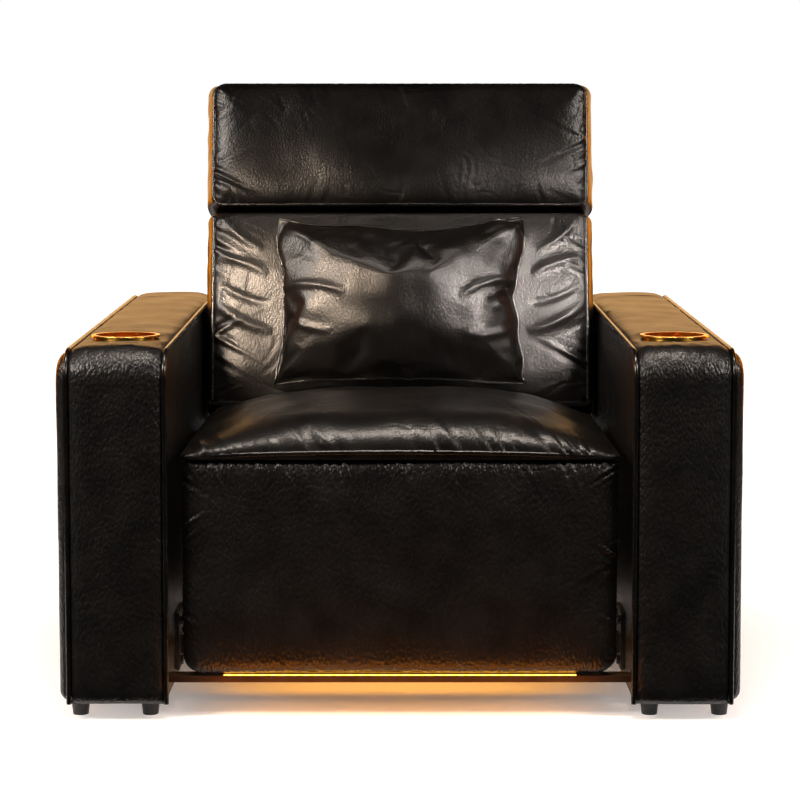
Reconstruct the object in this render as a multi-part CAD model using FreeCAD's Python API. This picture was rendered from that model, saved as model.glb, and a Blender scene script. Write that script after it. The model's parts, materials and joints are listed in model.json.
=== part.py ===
import FreeCAD, Part
import math
import os

V = FreeCAD.Vector
os.makedirs("parts", exist_ok=True)

# Cinema recliner seat. Millimetres, +Z up, -Y is the front, +X is the right-hand side in the front view.
# The floor is z = 0 and the origin is the middle of the footprint.

# Driving dimensions: arms
ARM_IN = 355.0            # inner face of an arm, from the middle of the seat
ARM_OUT = 506.0           # seam line of the outer panel
ARM_BULGE = 524.5         # fullest point of the outer panel
ARM_FRONT = -473.0        # seam line at the front
ARM_REAR = 473.0          # seam line at the rear
ARM_BASE = 26.0           # lower edge of the upholstery
ARM_TOP_FRONT = 563.0     # seam height where the top strip begins
ARM_TOP_REAR = 591.0      # seam height at the back of the top strip
ARM_CROWN = 13.0          # rise of the padded strip over its seam lines
PAD_THICK = 12.0
PIPE_R = 4.0              # radius of the welt cords

# Driving dimensions: cup holders
CUP_X = 431.0
CUP_Y = -326.0
CUP_BORE_R = 47.0
CUP_RING_R = 54.0
CUP_DEPTH = 72.0

# Driving dimensions: glides
FOOT_H = 24.0
FOOT_X = (386.0, 494.0)
FOOT_Y = (-428.0, 428.0)

# Driving dimensions: seat and footrest
SEAT_HALF = 337.0
SEAT_FRONT = -455.0
SEAT_REAR = 99.0
SEAT_BOTTOM = 399.0
PANEL_HALF = 334.0
PANEL_TOP = 397.0
PANEL_BOTTOM = 67.0
BOARD_FRONT = -412.0
BOARD_BACK = -400.0

# Driving dimensions: footrest linkage, as (y, z) pivots in the folded position
LINK_LEN = 200.0
DRIVE_PIVOT = (-382.0, 290.0)
ELBOW = (-382.0, 90.0)
PARALLEL_GAP = 55.0
GUIDE_ELBOW = (-382.0, 145.0)
PANEL_PIVOT = (-382.0, 290.0)
GUIDE_PIVOT = (-382.0, 345.0)
CONTROL_PIVOT = (-309.7, 369.9)
CONTROL_LEN = 278.9
CONTROL_START = math.radians(8.42)
EAR_PIVOT = (-352.3, 93.4)
PIN_R = 5.0
PIN_PLAY = 0.08
OPEN_PLAY = 0.6
CONTROL_PLAY = 2.8

# Driving dimensions: back, in its own leaning frame (n backwards, u upwards)
LEAN = 13.0
BACK_ORIGIN = (150.0, 590.0)
BACK_HALF = 350.0
HEAD_HALF = 354.0
CREASE_U = 180.0
HEAD_TOP_U = 421.0
RECLINE_PIVOT = (165.0, 385.0)
HEAD_PIVOT = (32.0, 212.0)


def save(shape, name):
    shape.exportStep("parts/" + name + ".step")
    size = shape.BoundBox
    print("%-26s solids %d  x %.1f..%.1f  y %.1f..%.1f  z %.1f..%.1f  valid %s" % (
        name, len(shape.Solids), size.XMin, size.XMax, size.YMin, size.YMax, size.ZMin, size.ZMax,
        shape.isValid()))


def box(x0, x1, y0, y1, z0, z1):
    return Part.makeBox(x1 - x0, y1 - y0, z1 - z0, V(x0, y0, z0))


def rod_x(y, z, radius, x0, x1):
    return Part.makeCylinder(radius, x1 - x0, V(x0, y, z), V(1, 0, 0))


def fuse(shapes):
    whole = shapes[0]
    if len(shapes) > 1:
        whole = shapes[0].multiFuse(shapes[1:])
    return whole.removeSplitter()


def mirror(shape):
    return shape.mirror(V(0, 0, 0), V(1, 0, 0))


def both(shape):
    return [shape, mirror(shape)]


def rounded_edges(points, radii, x, closed):
    """Lines and tangent arcs through (y, z) corner points, in the plane at x."""
    count = len(points)
    edges = []
    starts = []
    ends = []
    mids = []
    for i in range(count):
        p = V(x, points[i][0], points[i][1])
        if radii[i] == 0:
            starts.append(p)
            ends.append(p)
            mids.append(None)
            continue
        before = V(x, points[i - 1][0], points[i - 1][1])
        after = V(x, points[(i + 1) % count][0], points[(i + 1) % count][1])
        a = (before - p).normalize()
        b = (after - p).normalize()
        half = a.getAngle(b) / 2
        reach = radii[i] / math.tan(half)
        middle = (a + b).normalize()
        starts.append(p + a * reach)
        ends.append(p + b * reach)
        mids.append(p + middle * (radii[i] / math.sin(half) - radii[i]))
    last = count if closed else count - 1
    for i in range(count):
        if mids[i] is not None:
            edges.append(Part.Arc(starts[i], mids[i], ends[i]).toShape())
        if i < last:
            nxt = starts[(i + 1) % count]
            if ends[i].distanceToPoint(nxt) > 1e-6:
                edges.append(Part.makeLine(ends[i], nxt))
    return edges


def prism(points, radii, x0, x1):
    """Solid with a rounded (y, z) outline between two planes across the seat."""
    wire = Part.Wire(Part.sortEdges(rounded_edges(points, radii, x0, True))[0])
    return Part.Face(wire).extrude(V(x1 - x0, 0, 0))


def cord(edges, radius):
    """Round cord swept along joined lines and arcs."""
    spine = Part.Wire(Part.sortEdges(edges)[0])
    first = spine.OrderedEdges[0]
    start = first.valueAt(first.FirstParameter)
    heading = first.tangentAt(first.FirstParameter)
    if first.Orientation == "Reversed":
        start = first.valueAt(first.LastParameter)
        heading = first.tangentAt(first.LastParameter).negative()
    ring = Part.Wire(Part.makeCircle(radius, start, heading))
    pipe = Part.BRepOffsetAPI.MakePipeShell(spine)
    pipe.setFrenetMode(False)
    pipe.setTransitionMode(1)
    pipe.add(ring)
    pipe.build()
    pipe.makeSolid()
    return pipe.shape()


def link(a, b, half, x0, x1):
    """Flat bar with round ends between two (y, z) pivots."""
    length = math.hypot(b[0] - a[0], b[1] - a[1])
    oy = -(b[1] - a[1]) / length * half
    oz = (b[0] - a[0]) / length * half
    corners = [V(x0, a[0] + oy, a[1] + oz), V(x0, b[0] + oy, b[1] + oz),
               V(x0, b[0] - oy, b[1] - oz), V(x0, a[0] - oy, a[1] - oz)]
    bar = Part.Face(Part.makePolygon(corners + corners[:1])).extrude(V(x1 - x0, 0, 0))
    return fuse([bar, rod_x(a[0], a[1], half, x0, x1), rod_x(b[0], b[1], half, x0, x1)])


def loft(wires, ruled=False):
    return Part.makeLoft(wires, True, ruled)


def lean(shape):
    """Move a shape made with y = n and z = u into the leaning back."""
    placed = shape.copy()
    placed.rotate(V(0, 0, 0), V(1, 0, 0), -LEAN)
    placed.translate(V(0, BACK_ORIGIN[0], BACK_ORIGIN[1]))
    return placed


# Arms: the outline of the seam lines, front bottom, front top, rear top, rear bottom
ARM_OUTLINE = [(ARM_FRONT, ARM_BASE), (ARM_FRONT, ARM_TOP_FRONT), (ARM_REAR, ARM_TOP_REAR),
               (ARM_REAR, ARM_BASE)]
ARM_RADII = [0.0, 42.0, 62.0, 0.0]


def inset(points, amount):
    """Arm outline moved inwards by a wall thickness, keeping the bottom edge."""
    (fy, b), (_, tf), (ry, tr), _ = points
    return [(fy + amount, b), (fy + amount, tf - amount), (ry - amount, tr - amount), (ry - amount, b)]


def arm_strip():
    """Padded strip that runs up the front, over the top and down the rear of an arm."""
    edges = rounded_edges(ARM_OUTLINE, ARM_RADII, ARM_IN + 4.0, False)
    spine = Part.Wire(Part.sortEdges(edges)[0])
    y = ARM_FRONT
    z = ARM_BASE
    x0 = ARM_IN + 4.0
    x1 = ARM_OUT - 1.0
    crown = Part.Arc(V(x0, y, z), V((x0 + x1) / 2, y - ARM_CROWN + 1.0, z), V(x1, y, z)).toShape()
    sides = [Part.makeLine(V(x1, y, z), V(x1, y + PAD_THICK, z)),
             Part.makeLine(V(x1, y + PAD_THICK, z), V(x0, y + PAD_THICK, z)),
             Part.makeLine(V(x0, y + PAD_THICK, z), V(x0, y, z))]
    pipe = Part.BRepOffsetAPI.MakePipeShell(spine)
    pipe.setBiNormalMode(V(1, 0, 0))
    pipe.add(Part.Wire([crown] + sides))
    pipe.build()
    pipe.makeSolid()
    return pipe.shape()


def arm_side(x0, x1, rim):
    """Side panel with a soft rounded rim on its x1 face."""
    body = prism(ARM_OUTLINE, [6.0, 42.0, 62.0, 6.0], min(x0, x1), max(x0, x1))
    rim_edges = []
    for edge in body.Edges:
        if abs(edge.BoundBox.XMin - x1) < 1e-6 and abs(edge.BoundBox.XMax - x1) < 1e-6:
            rim_edges.append(edge)
    return body.makeFillet(rim, rim_edges)


def arm_cord(x, out):
    """Welt cord along the seam line of an arm."""
    line = [(ARM_FRONT - out, ARM_BASE), (ARM_FRONT - out, ARM_TOP_FRONT + out),
            (ARM_REAR + out, ARM_TOP_REAR + out), (ARM_REAR + out, ARM_BASE)]
    return rounded_edges(line, [0.0, 42.0 + out, 62.0 + out, 0.0], x, False)


# Height of the strip's crest at the cup holder
slope = (ARM_TOP_REAR - ARM_TOP_FRONT) / (ARM_REAR - ARM_FRONT)
cup_top = ARM_TOP_FRONT + slope * (CUP_Y - ARM_FRONT) + ARM_CROWN - 1.0
ring_top = cup_top + 1.0

outer_cord = cord(arm_cord(ARM_OUT - 0.5, 1.5), PIPE_R)
inner_cord = cord(arm_cord(ARM_IN + 1.5, 1.5), PIPE_R)


def rim_band(depth, x0, x1):
    """Everything outside the arm outline less a depth, to cut a rebate along a seam."""
    grown = [(ARM_FRONT - 30.0, 0.0), (ARM_FRONT - 30.0, 640.0), (ARM_REAR + 30.0, 640.0), (ARM_REAR + 30.0, 0.0)]
    core = [(p[0], 0.0) if p[1] == ARM_BASE else p for p in inset(ARM_OUTLINE, depth)]
    core_solid = prism(core, [0.0, 42.0 - depth, 62.0 - depth, 0.0], x0, x1)
    return prism(grown, [0.0] * 4, x0, x1).cut(core_solid)


outer_groove = rim_band(2.9, ARM_OUT - 4.9, ARM_OUT + 4.0)
inner_groove = rim_band(2.9, ARM_IN - 3.0, ARM_IN + 5.9)
outer_lap = rim_band(PAD_THICK + 0.8, 490.0, ARM_OUT - 0.9)
inner_lap = rim_band(PAD_THICK + 0.8, ARM_IN + 3.9, ARM_IN + 20.0)
print("arm welt cord radius %.1f" % PIPE_R)

cup_hole = Part.makeCylinder(CUP_BORE_R + 2.4, 120.0, V(CUP_X, CUP_Y, cup_top - 100.0), V(0, 0, 1))
ring_seat = Part.makeCylinder(CUP_RING_R + 0.6, 30.0, V(CUP_X, CUP_Y, ring_top - 3.2), V(0, 0, 1))

pad = arm_strip().cut(outer_groove).cut(inner_groove).cut(cup_hole).cut(ring_seat)
outer_panel = arm_side(500.0, ARM_BULGE, 17.0).cut(outer_groove).cut(outer_lap)
inner_panel = arm_side(ARM_IN + 9.0, ARM_IN, 2.5).cut(inner_groove).cut(inner_lap)

# Arm frame: a plywood box, open underneath round a foot plate
rim_out = inset(ARM_OUTLINE, PAD_THICK + 1.0)
rim_in = inset(ARM_OUTLINE, PAD_THICK + 16.0)
rim_out = [(p[0], p[1] - 2.0 if p[1] == ARM_BASE else p[1]) for p in rim_out]
rim_in = [(p[0], p[1] + 14.0 if p[1] == ARM_BASE else p[1]) for p in rim_in]
frame_box = prism(rim_out, [0.0, 30.0, 50.0, 0.0], ARM_IN + 10.0, 499.5)
frame_cavity = prism(rim_in, [0.0, 16.0, 36.0, 0.0], ARM_IN + 22.0, 487.5)
floor_opening = box(ARM_IN + 50.0, 460.0, -380.0, 380.0, 20.0, 50.0)
middle_board = box(ARM_IN + 22.0, 487.5, -140.0, -125.0, 40.0, 545.0)
arm_frame = fuse([frame_box.cut(frame_cavity).cut(floor_opening), middle_board]).cut(cup_hole)

stem_holes = []
glides = {}
for row, fy in zip(("front", "rear"), FOOT_Y):
    for side, fx in zip(("inner", "outer"), FOOT_X):
        cone = Part.makeCone(12.0, 14.5, FOOT_H - 3.0, V(fx, fy, 0.0), V(0, 0, 1))
        flange = Part.makeCylinder(14.5, 3.0, V(fx, fy, FOOT_H - 3.0), V(0, 0, 1))
        stem = Part.makeCylinder(4.0, 12.0, V(fx, fy, FOOT_H), V(0, 0, 1))
        glides[row + "_" + side] = fuse([cone, flange, stem])
        stem_holes.append(Part.makeCylinder(4.1, 13.0, V(fx, fy, FOOT_H - 0.5), V(0, 0, 1)))
for hole in stem_holes:
    arm_frame = arm_frame.cut(hole)

# Cup liner: spun brass cup with a flat rolled ring
cup_floor = ring_top - CUP_DEPTH
liner = fuse([
    Part.makeCylinder(CUP_BORE_R + 2.0, CUP_DEPTH - 1.5, V(CUP_X, CUP_Y, cup_floor), V(0, 0, 1)),
    Part.makeCylinder(CUP_RING_R, 3.0, V(CUP_X, CUP_Y, ring_top - 3.0), V(0, 0, 1)),
])
liner_edges = [e for e in liner.Edges if abs(e.BoundBox.ZMin - ring_top) < 1e-6
               and abs(e.BoundBox.XLength - 2 * CUP_RING_R) < 0.1]
liner = liner.makeFillet(1.4, liner_edges)
liner = liner.cut(Part.makeCylinder(CUP_BORE_R, CUP_DEPTH, V(CUP_X, CUP_Y, cup_floor + 2.0), V(0, 0, 1)))
print("cup: ring top %.2f floor %.2f" % (ring_top, cup_floor + 2.0))

# Switch panel in the outer face of the right arm
SW_Y = (-300.0, -196.0)
SW_Z = (452.0, 484.0)
SW_FACE = 524.0
pocket = box(508.0, 530.0, SW_Y[0], SW_Y[1], SW_Z[0], SW_Z[1])
outer_panel_right = outer_panel.cut(pocket)
bezel = box(508.0, SW_FACE, SW_Y[0] + 0.2, SW_Y[1] - 0.2, SW_Z[0] + 0.2, SW_Z[1] - 0.2)
bezel = bezel.makeFillet(2.0, [e for e in bezel.Edges if e.BoundBox.XMin > SW_FACE - 0.01])
button_y = (-285.5, -260.5, -235.5, -210.5)
button_names = ("recline", "upright", "head_forward", "head_back")
buttons = {}
for name, by in zip(button_names, button_y):
    well = box(515.5, 530.0, by - 9.0, by + 9.0, 459.5, 476.5)
    bezel = bezel.cut(well)
    guide = Part.makeCylinder(3.0, 10.0, V(507.0, by, 468.0), V(1, 0, 0))
    bezel = bezel.cut(guide)
    key = box(518.0, 524.4, by - 8.5, by + 8.5, 460.0, 476.0)
    key = key.makeFillet(1.2, [e for e in key.Edges if e.BoundBox.XMin > 524.39])
    buttons[name] = fuse([key, Part.makeCylinder(2.6, 8.0, V(510.5, by, 468.0), V(1, 0, 0))])

for shape, stem in ((arm_frame, "arm_frame"), (pad, "arm_pad"), (inner_panel, "arm_panel_inner"),
                    (outer_cord, "arm_piping_outer"), (inner_cord, "arm_piping_inner"),
                    (liner, "cup_liner")):
    save(shape, stem + "_right")
    save(mirror(shape), stem + "_left")
save(outer_panel_right, "arm_panel_outer_right")
save(mirror(outer_panel), "arm_panel_outer_left")
for place, glide in glides.items():
    save(glide, "glide_" + place + "_right")
    save(mirror(glide), "glide_" + place + "_left")
save(bezel, "switch_bezel")
for name, shape in buttons.items():
    save(shape, "button_" + name)

# Steel seat frame: base tubes between the arms, side plates, seat rails and cross tubes
PLATE = (258.0, 264.0)
plate_points = [(-395.5, 272.0), (-382.0, 250.0), (-330.0, 100.0), (-318.0, 66.0), (-282.0, 66.0),
                (-150.0, 200.0), (60.0, 200.0), (180.0, 66.0), (222.0, 66.0), (222.0, 150.0),
                (182.0, 300.0), (182.0, 384.0), (60.0, 383.5), (-300.0, 386.0), (-335.0, 384.0),
                (-395.5, 304.0)]
plate_radii = [10.0, 14.0, 30.0, 4.0, 12.0, 40.0, 40.0, 12.0, 4.0, 30.0, 30.0, 8.0, 8.0, 8.0, 8.0, 10.0]
pivot_boss = rod_x(RECLINE_PIVOT[0], RECLINE_PIVOT[1], 19.0, PLATE[0], PLATE[1])
plate = fuse([prism(plate_points, plate_radii, PLATE[0], PLATE[1]), pivot_boss])
window = prism([(-195.0, 250.0), (60.0, 250.0), (60.0, 330.0), (-195.0, 330.0)], [20.0] * 4, 250.0, 270.0)
drive_hole = rod_x(DRIVE_PIVOT[0], DRIVE_PIVOT[1], 9.0 + PIN_PLAY, 250.0, 270.0)
control_hole = rod_x(CONTROL_PIVOT[0], CONTROL_PIVOT[1], 8.0 + PIN_PLAY, 250.0, 270.0)
recline_hole = rod_x(RECLINE_PIVOT[0], RECLINE_PIVOT[1], 12.0 + PIN_PLAY, 250.0, 270.0)
plate = plate.cut(window).cut(drive_hole).cut(control_hole).cut(recline_hole)


def square_tube_x(y0, y1, z0, z1, half, wall):
    outer = box(-half, half, y0, y1, z0, z1)
    inner = box(-half - 1, half + 1, y0 + wall, y1 - wall, z0 + wall, z1 - wall)
    return outer.cut(inner)


frame_parts = both(plate)
frame_parts.append(square_tube_x(-320.0, -290.0, 70.0, 100.0, 349.0, 2.0))
frame_parts.append(square_tube_x(190.0, 220.0, 70.0, 100.0, 349.0, 2.0))
frame_parts.append(square_tube_x(-365.0, -345.0, 364.0, 384.0, 320.0, 2.0))
frame_parts.append(square_tube_x(50.0, 70.0, 364.0, 384.0, 320.0, 2.0))
frame_parts.append(square_tube_x(-245.0, -220.0, 296.0, 321.0, 258.0, 2.0))
frame_parts.append(square_tube_x(90.0, 110.0, 196.0, 216.0, 258.0, 2.0))
for flange_y in (-305.0, 205.0):
    frame_parts += both(box(349.0, ARM_IN, flange_y - 45.0, flange_y + 45.0, 50.0, 140.0))
    for bolt_y in (flange_y - 30.0, flange_y + 30.0):
        for bolt_z in (63.0, 127.0):
            frame_parts += both(Part.makeCylinder(7.0, 5.0, V(344.0, bolt_y, bolt_z), V(1, 0, 0)))
rail = box(300.0, 320.0, -365.0, 70.0, 364.0, 384.0)
rail = rail.cut(box(302.0, 318.0, -363.0, 68.0, 366.0, 382.0))
frame_parts += both(rail)
# Clevis plates for the two actuators under the seat
for x in (95.5, 140.5):
    frame_parts.append(link((-222.0, 302.0), (-200.0, 277.0), 11.0, x, x + 4.0))
for x in (-90.5, -41.5):
    frame_parts.append(link((100.0, 206.0), (70.0, 206.0), 10.0, x, x + 4.0))
seat_frame = fuse(frame_parts)
seat_frame = seat_frame.cut(box(-330.0, 330.0, -363.0, -347.0, 366.0, 382.0))
seat_frame = seat_frame.cut(box(-330.0, 330.0, 52.0, 68.0, 366.0, 382.0))
# The front cross tube is notched over each control link, which swings up under it
link_notch = box(289.5, 297.5, -366.0, -344.0, 363.0, 372.5)
seat_frame = seat_frame.cut(link_notch).cut(mirror(link_notch))
seat_frame = seat_frame.cut(rod_x(-200.0, 277.0, 4.3, 90.0, 150.0))
seat_frame = seat_frame.cut(rod_x(70.0, 206.0, 4.3, -96.0, -36.0))
save(seat_frame, "seat_frame")

# Zigzag seat springs with their clip strips
spring_parts = [box(-290.0, 290.0, -364.0, -350.0, 384.3, 387.0), box(-290.0, 290.0, 55.0, 69.0, 384.3, 387.0)]
wire_r = 1.9
for i in range(6):
    cx = -225.0 + 90.0 * i
    points = []
    step = 21.0
    count = 20
    y = -357.0
    edges = []
    reach = 17.0
    last = V(cx, y, 388.0)
    for k in range(count):
        side = reach if k % 2 == 0 else -reach
        y_next = y + (62.0 + 357.0) / count
        turn_a = V(cx + side, y, 388.0)
        turn_b = V(cx + side, y_next, 388.0)
        bow = V(cx + side + (1 if side > 0 else -1) * (y_next - y) / 2, (y + y_next) / 2, 388.0)
        edges.append(Part.makeLine(last, turn_a))
        edges.append(Part.Arc(turn_a, bow, turn_b).toShape())
        last = turn_b
        y = y_next
    edges.append(Part.makeLine(last, V(cx, y, 388.0)))
    spring_parts.append(cord(edges, wire_r))
springs = fuse(spring_parts)
print("seat spring wire radius %.1f" % wire_r)
save(springs, "seat_springs")

# Seat cushion: side outlines (y, z) at several stations across, crowned and drawn in at the sides
def seat_outline(x, front, z_front, z_crest, z_rear, rear):
    points = [(front, SEAT_BOTTOM), (front + 3.0, z_front), (-130.0, z_crest), (rear, z_rear),
              (rear, SEAT_BOTTOM)]
    roll = min(38.0, (z_front - SEAT_BOTTOM) * 0.8)
    rear_roll = min(28.0, (z_rear - SEAT_BOTTOM) * 0.7)
    return Part.Wire(rounded_edges(points, [0.0, roll, 900.0, rear_roll, 0.0], x, True))


def crowned_stations(width, edge, outline, count=7, rim=5):
    """Outlines from one side to the other: an even crown, then a rolled side gusset."""
    rows = []
    for i in range(count):
        t = i / (count - 1.0)
        rows.append((edge * math.sin(t * math.pi / 2), t, 0.0))
    for i in range(1, rim + 1):
        turn = math.radians(82.0) * i / rim
        rows.append((edge + (width - edge) * math.sin(turn) / math.sin(math.radians(82.0)), 1.0, 1 - math.cos(turn)))
    wires = [outline(-r[0], r[1], r[2]) for r in reversed(rows)]
    return wires + [outline(*r) for r in rows[1:]]


def seat_station(x, t, rim):
    fall = (x / 315.0) ** 4
    return seat_outline(x, SEAT_FRONT + 3.0 * t + 9.0 * rim, 451.0 - 14.0 * min(fall, 1.0) - 20.0 * rim,
                        478.0 - 34.0 * min(fall, 1.2) - 22.0 * rim, 449.0 - 13.0 * min(fall, 1.0) - 18.0 * rim,
                        SEAT_REAR - 2.0 * t - 12.0 * rim)


seat_cushion = loft(crowned_stations(SEAT_HALF, 316.0, seat_station, 9, 5), True)
seat_cord_edges = [Part.Arc(V(-330.0, SEAT_FRONT + 5.0, 403.0), V(0.0, SEAT_FRONT + 0.0, 411.0),
                            V(330.0, SEAT_FRONT + 5.0, 403.0)).toShape()]
seat_cord = cord(seat_cord_edges, PIPE_R)
seat_cushion = seat_cushion.cut(box(-400.0, 400.0, SEAT_FRONT - 20.0, SEAT_FRONT + 9.2, SEAT_BOTTOM - 5.0, 415.3))
print("seat welt cord radius %.1f" % PIPE_R)
save(seat_cushion, "seat_cushion")
save(seat_cord, "seat_piping")

# Footrest linkage, folded behind the panel. Plates stand in four planes on each side of the seat.
DRIVE_X = (267.0, 272.0)
GUIDE_X = (275.0, 280.0)
FRONT_X = (283.0, 288.0)
CONTROL_X = (291.0, 296.0)

drive_plate = link(DRIVE_PIVOT, ELBOW, 11.0, *DRIVE_X)
drive_plate = drive_plate.cut(rod_x(ELBOW[0], ELBOW[1], PIN_R + PIN_PLAY, *DRIVE_X))
drive_plate = drive_plate.cut(rod_x(GUIDE_ELBOW[0], GUIDE_ELBOW[1], PIN_R + PIN_PLAY, *DRIVE_X))
crank_angle = math.radians(40.0)
crank_tip = (DRIVE_PIVOT[0] + 60.0 * math.sin(crank_angle), DRIVE_PIVOT[1] - 60.0 * math.cos(crank_angle))
crank = link(DRIVE_PIVOT, crank_tip, 11.0, -67.0, -61.0).cut(rod_x(crank_tip[0], crank_tip[1], 4.4, -67.0, -61.0))
torque_tube = rod_x(DRIVE_PIVOT[0], DRIVE_PIVOT[1], 9.0, -DRIVE_X[0], DRIVE_X[0])
torque_tube = torque_tube.cut(rod_x(DRIVE_PIVOT[0], DRIVE_PIVOT[1], 6.5, -DRIVE_X[0], DRIVE_X[0]))
footrest_drive = fuse(both(drive_plate) + [torque_tube, crank])
save(footrest_drive, "footrest_drive")
print("footrest crank tip", [round(v, 2) for v in crank_tip])

guide_plate = link(GUIDE_ELBOW, GUIDE_PIVOT, 10.0, *GUIDE_X)
guide_plate = guide_plate.cut(rod_x(GUIDE_PIVOT[0], GUIDE_PIVOT[1], PIN_R + OPEN_PLAY, *GUIDE_X))
guide_rod = rod_x(GUIDE_ELBOW[0], GUIDE_ELBOW[1], PIN_R, -GUIDE_X[1], GUIDE_X[1])
save(fuse(both(guide_plate) + [guide_rod]), "footrest_guide_links")

ear = link(ELBOW, EAR_PIVOT, 10.0, *FRONT_X)
front_plate = fuse([link(ELBOW, PANEL_PIVOT, 10.0, *FRONT_X), ear])
front_plate = front_plate.cut(rod_x(PANEL_PIVOT[0], PANEL_PIVOT[1], PIN_R + PIN_PLAY, *FRONT_X))
front_rod = rod_x(ELBOW[0], ELBOW[1], PIN_R, -FRONT_X[1], FRONT_X[1])
ear_pin = rod_x(EAR_PIVOT[0], EAR_PIVOT[1], 4.0, FRONT_X[1], CONTROL_X[1] + 2.0)
save(fuse(both(front_plate) + [front_rod] + both(ear_pin)), "footrest_front_links")

control_end = (CONTROL_PIVOT[0] - CONTROL_LEN * math.sin(CONTROL_START),
               CONTROL_PIVOT[1] - CONTROL_LEN * math.cos(CONTROL_START))
control_plate = link(CONTROL_PIVOT, control_end, 11.0, *CONTROL_X)
control_plate = control_plate.cut(rod_x(control_end[0], control_end[1], 4.0 + CONTROL_PLAY, *CONTROL_X))
control_shaft = rod_x(CONTROL_PIVOT[0], CONTROL_PIVOT[1], 8.0, -CONTROL_X[0], CONTROL_X[0])
save(fuse(both(control_plate) + [control_shaft]), "footrest_control_links")
print("control link end", [round(v, 2) for v in control_end])

bracket = prism([(BOARD_BACK, 268.0), (-378.0, 268.0), (-370.0, 290.0), (-370.0, 350.0), (-378.0, 358.0),
                 (BOARD_BACK, 358.0)], [0.0, 6.0, 10.0, 8.0, 6.0, 0.0], *CONTROL_X)
bracket_foot = box(CONTROL_X[0], CONTROL_X[1] + 22.0, BOARD_BACK, BOARD_BACK + 4.0, 268.0, 358.0)
panel_pin = rod_x(PANEL_PIVOT[0], PANEL_PIVOT[1], PIN_R, FRONT_X[0] - 1.5, CONTROL_X[0])
guide_pin = rod_x(GUIDE_PIVOT[0], GUIDE_PIVOT[1], PIN_R, GUIDE_X[0] - 1.5, CONTROL_X[0])
bracket_bar = box(-CONTROL_X[1], CONTROL_X[1], BOARD_BACK, BOARD_BACK + 4.0, 318.0, 348.0)
save(fuse(both(fuse([bracket, bracket_foot, panel_pin, guide_pin])) + [bracket_bar]), "footrest_brackets")

board = box(-320.0, 320.0, BOARD_FRONT, BOARD_BACK, PANEL_BOTTOM + 8.0, PANEL_TOP - 8.0)
save(board, "footrest_board")


def panel_section(y, grow, corner):
    """Rounded rectangle of the footrest pad at one depth."""
    x1 = PANEL_HALF - grow
    z0 = PANEL_BOTTOM + grow
    z1 = PANEL_TOP - grow
    r = corner
    k = r * (1 - math.sqrt(0.5))
    pts = [V(-x1 + r, y, z0), V(x1 - r, y, z0), V(x1 - k, y, z0 + k), V(x1, y, z0 + r), V(x1, y, z1 - r),
           V(x1 - k, y, z1 - k), V(x1 - r, y, z1), V(-x1 + r, y, z1), V(-x1 + k, y, z1 - k), V(-x1, y, z1 - r),
           V(-x1, y, z0 + r), V(-x1 + k, y, z0 + k)]
    edges = [Part.makeLine(pts[0], pts[1]), Part.Arc(pts[1], pts[2], pts[3]).toShape(),
             Part.makeLine(pts[3], pts[4]), Part.Arc(pts[4], pts[5], pts[6]).toShape(),
             Part.makeLine(pts[6], pts[7]), Part.Arc(pts[7], pts[8], pts[9]).toShape(),
             Part.makeLine(pts[9], pts[10]), Part.Arc(pts[10], pts[11], pts[0]).toShape()]
    return Part.Wire(edges)


# Footrest pad: a domed face over a rolled edge, wrapped round the board
pad_front = -456.0
panel = loft([panel_section(BOARD_BACK, 3.0, 12.0), panel_section(BOARD_FRONT, 0.5, 13.0),
              panel_section(-434.0, 0.0, 14.0)], True)
rim = loft([panel_section(-434.0, 0.0, 14.0), panel_section(-445.0, 3.0, 16.0),
            panel_section(-451.5, 10.0, 20.0)], True)
dome = loft([panel_section(-451.5, 10.0, 20.0), panel_section(-454.5, 40.0, 30.0),
             panel_section(pad_front, 90.0, 40.0)], True)
panel = fuse([panel, rim, dome]).cut(board.copy())
panel = panel.cut(box(-400.0, 400.0, BOARD_FRONT, BOARD_BACK + 1.0, PANEL_BOTTOM + 8.0, PANEL_TOP - 8.0))
save(panel, "footrest_cushion")

# Front rail under the seat. Its light strip fills a slot and shines up onto the panel's hem and down to the floor
light_slot = box(-272.0, 272.0, -447.5, -440.5, 50.0, 70.0)
save(box(-354.8, 354.8, -450.0, -420.0, 54.0, 64.0).cut(light_slot), "front_rail")
save(box(-271.0, 271.0, -447.0, -441.0, 54.3, 64.3), "light_diffuser")

# Power supply, control box and power inlet on the rear base tube
supply = box(-240.0, -90.0, 120.0, 189.5, 60.0, 100.0)
supply = supply.makeFillet(4.0, [e for e in supply.Edges if e.BoundBox.ZLength > 30.0])
save(supply, "power_supply")
control = box(40.0, 160.0, 130.0, 189.5, 64.0, 100.0)
control = control.makeFillet(5.0, [e for e in control.Edges if e.BoundBox.ZLength > 30.0])
save(control, "control_box")
inlet = box(-200.0, -160.0, 438.0, 461.5, 72.0, 98.0)
inlet = inlet.cut(box(-194.0, -166.0, 450.0, 470.0, 77.0, 93.0))
inlet_pins = [Part.makeCylinder(1.8, 10.0, V(px, 449.0, 85.0), V(0, 1, 0)) for px in (-186.0, -174.0)]
save(fuse([inlet] + inlet_pins), "power_inlet")

# Rear cover between the arms, with soft edges and a cut-out for the inlet
cover = box(-354.6, 354.6, 446.0, 460.0, 40.0, 292.0)
cover = cover.makeFillet(5.0, [e for e in cover.Edges if e.BoundBox.YMin > 459.9 and e.BoundBox.XLength > 100.0])
cover = cover.cut(box(-200.3, -159.7, 440.0, 470.0, 71.7, 98.3))
save(cover, "rear_cover")

# Back frame: two side tubes, cross tubes, pivot shaft, hinge plates and the recline lever
SIDE_TUBE = (265.0, 289.0)


def local_tube_x(n0, n1, u0, u1, half):
    outer = box(-half, half, n0, n1, u0, u1)
    return outer.cut(box(-half - 1.0, half + 1.0, n0 + 2.0, n1 - 2.0, u0 + 2.0, u1 - 2.0))


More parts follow.
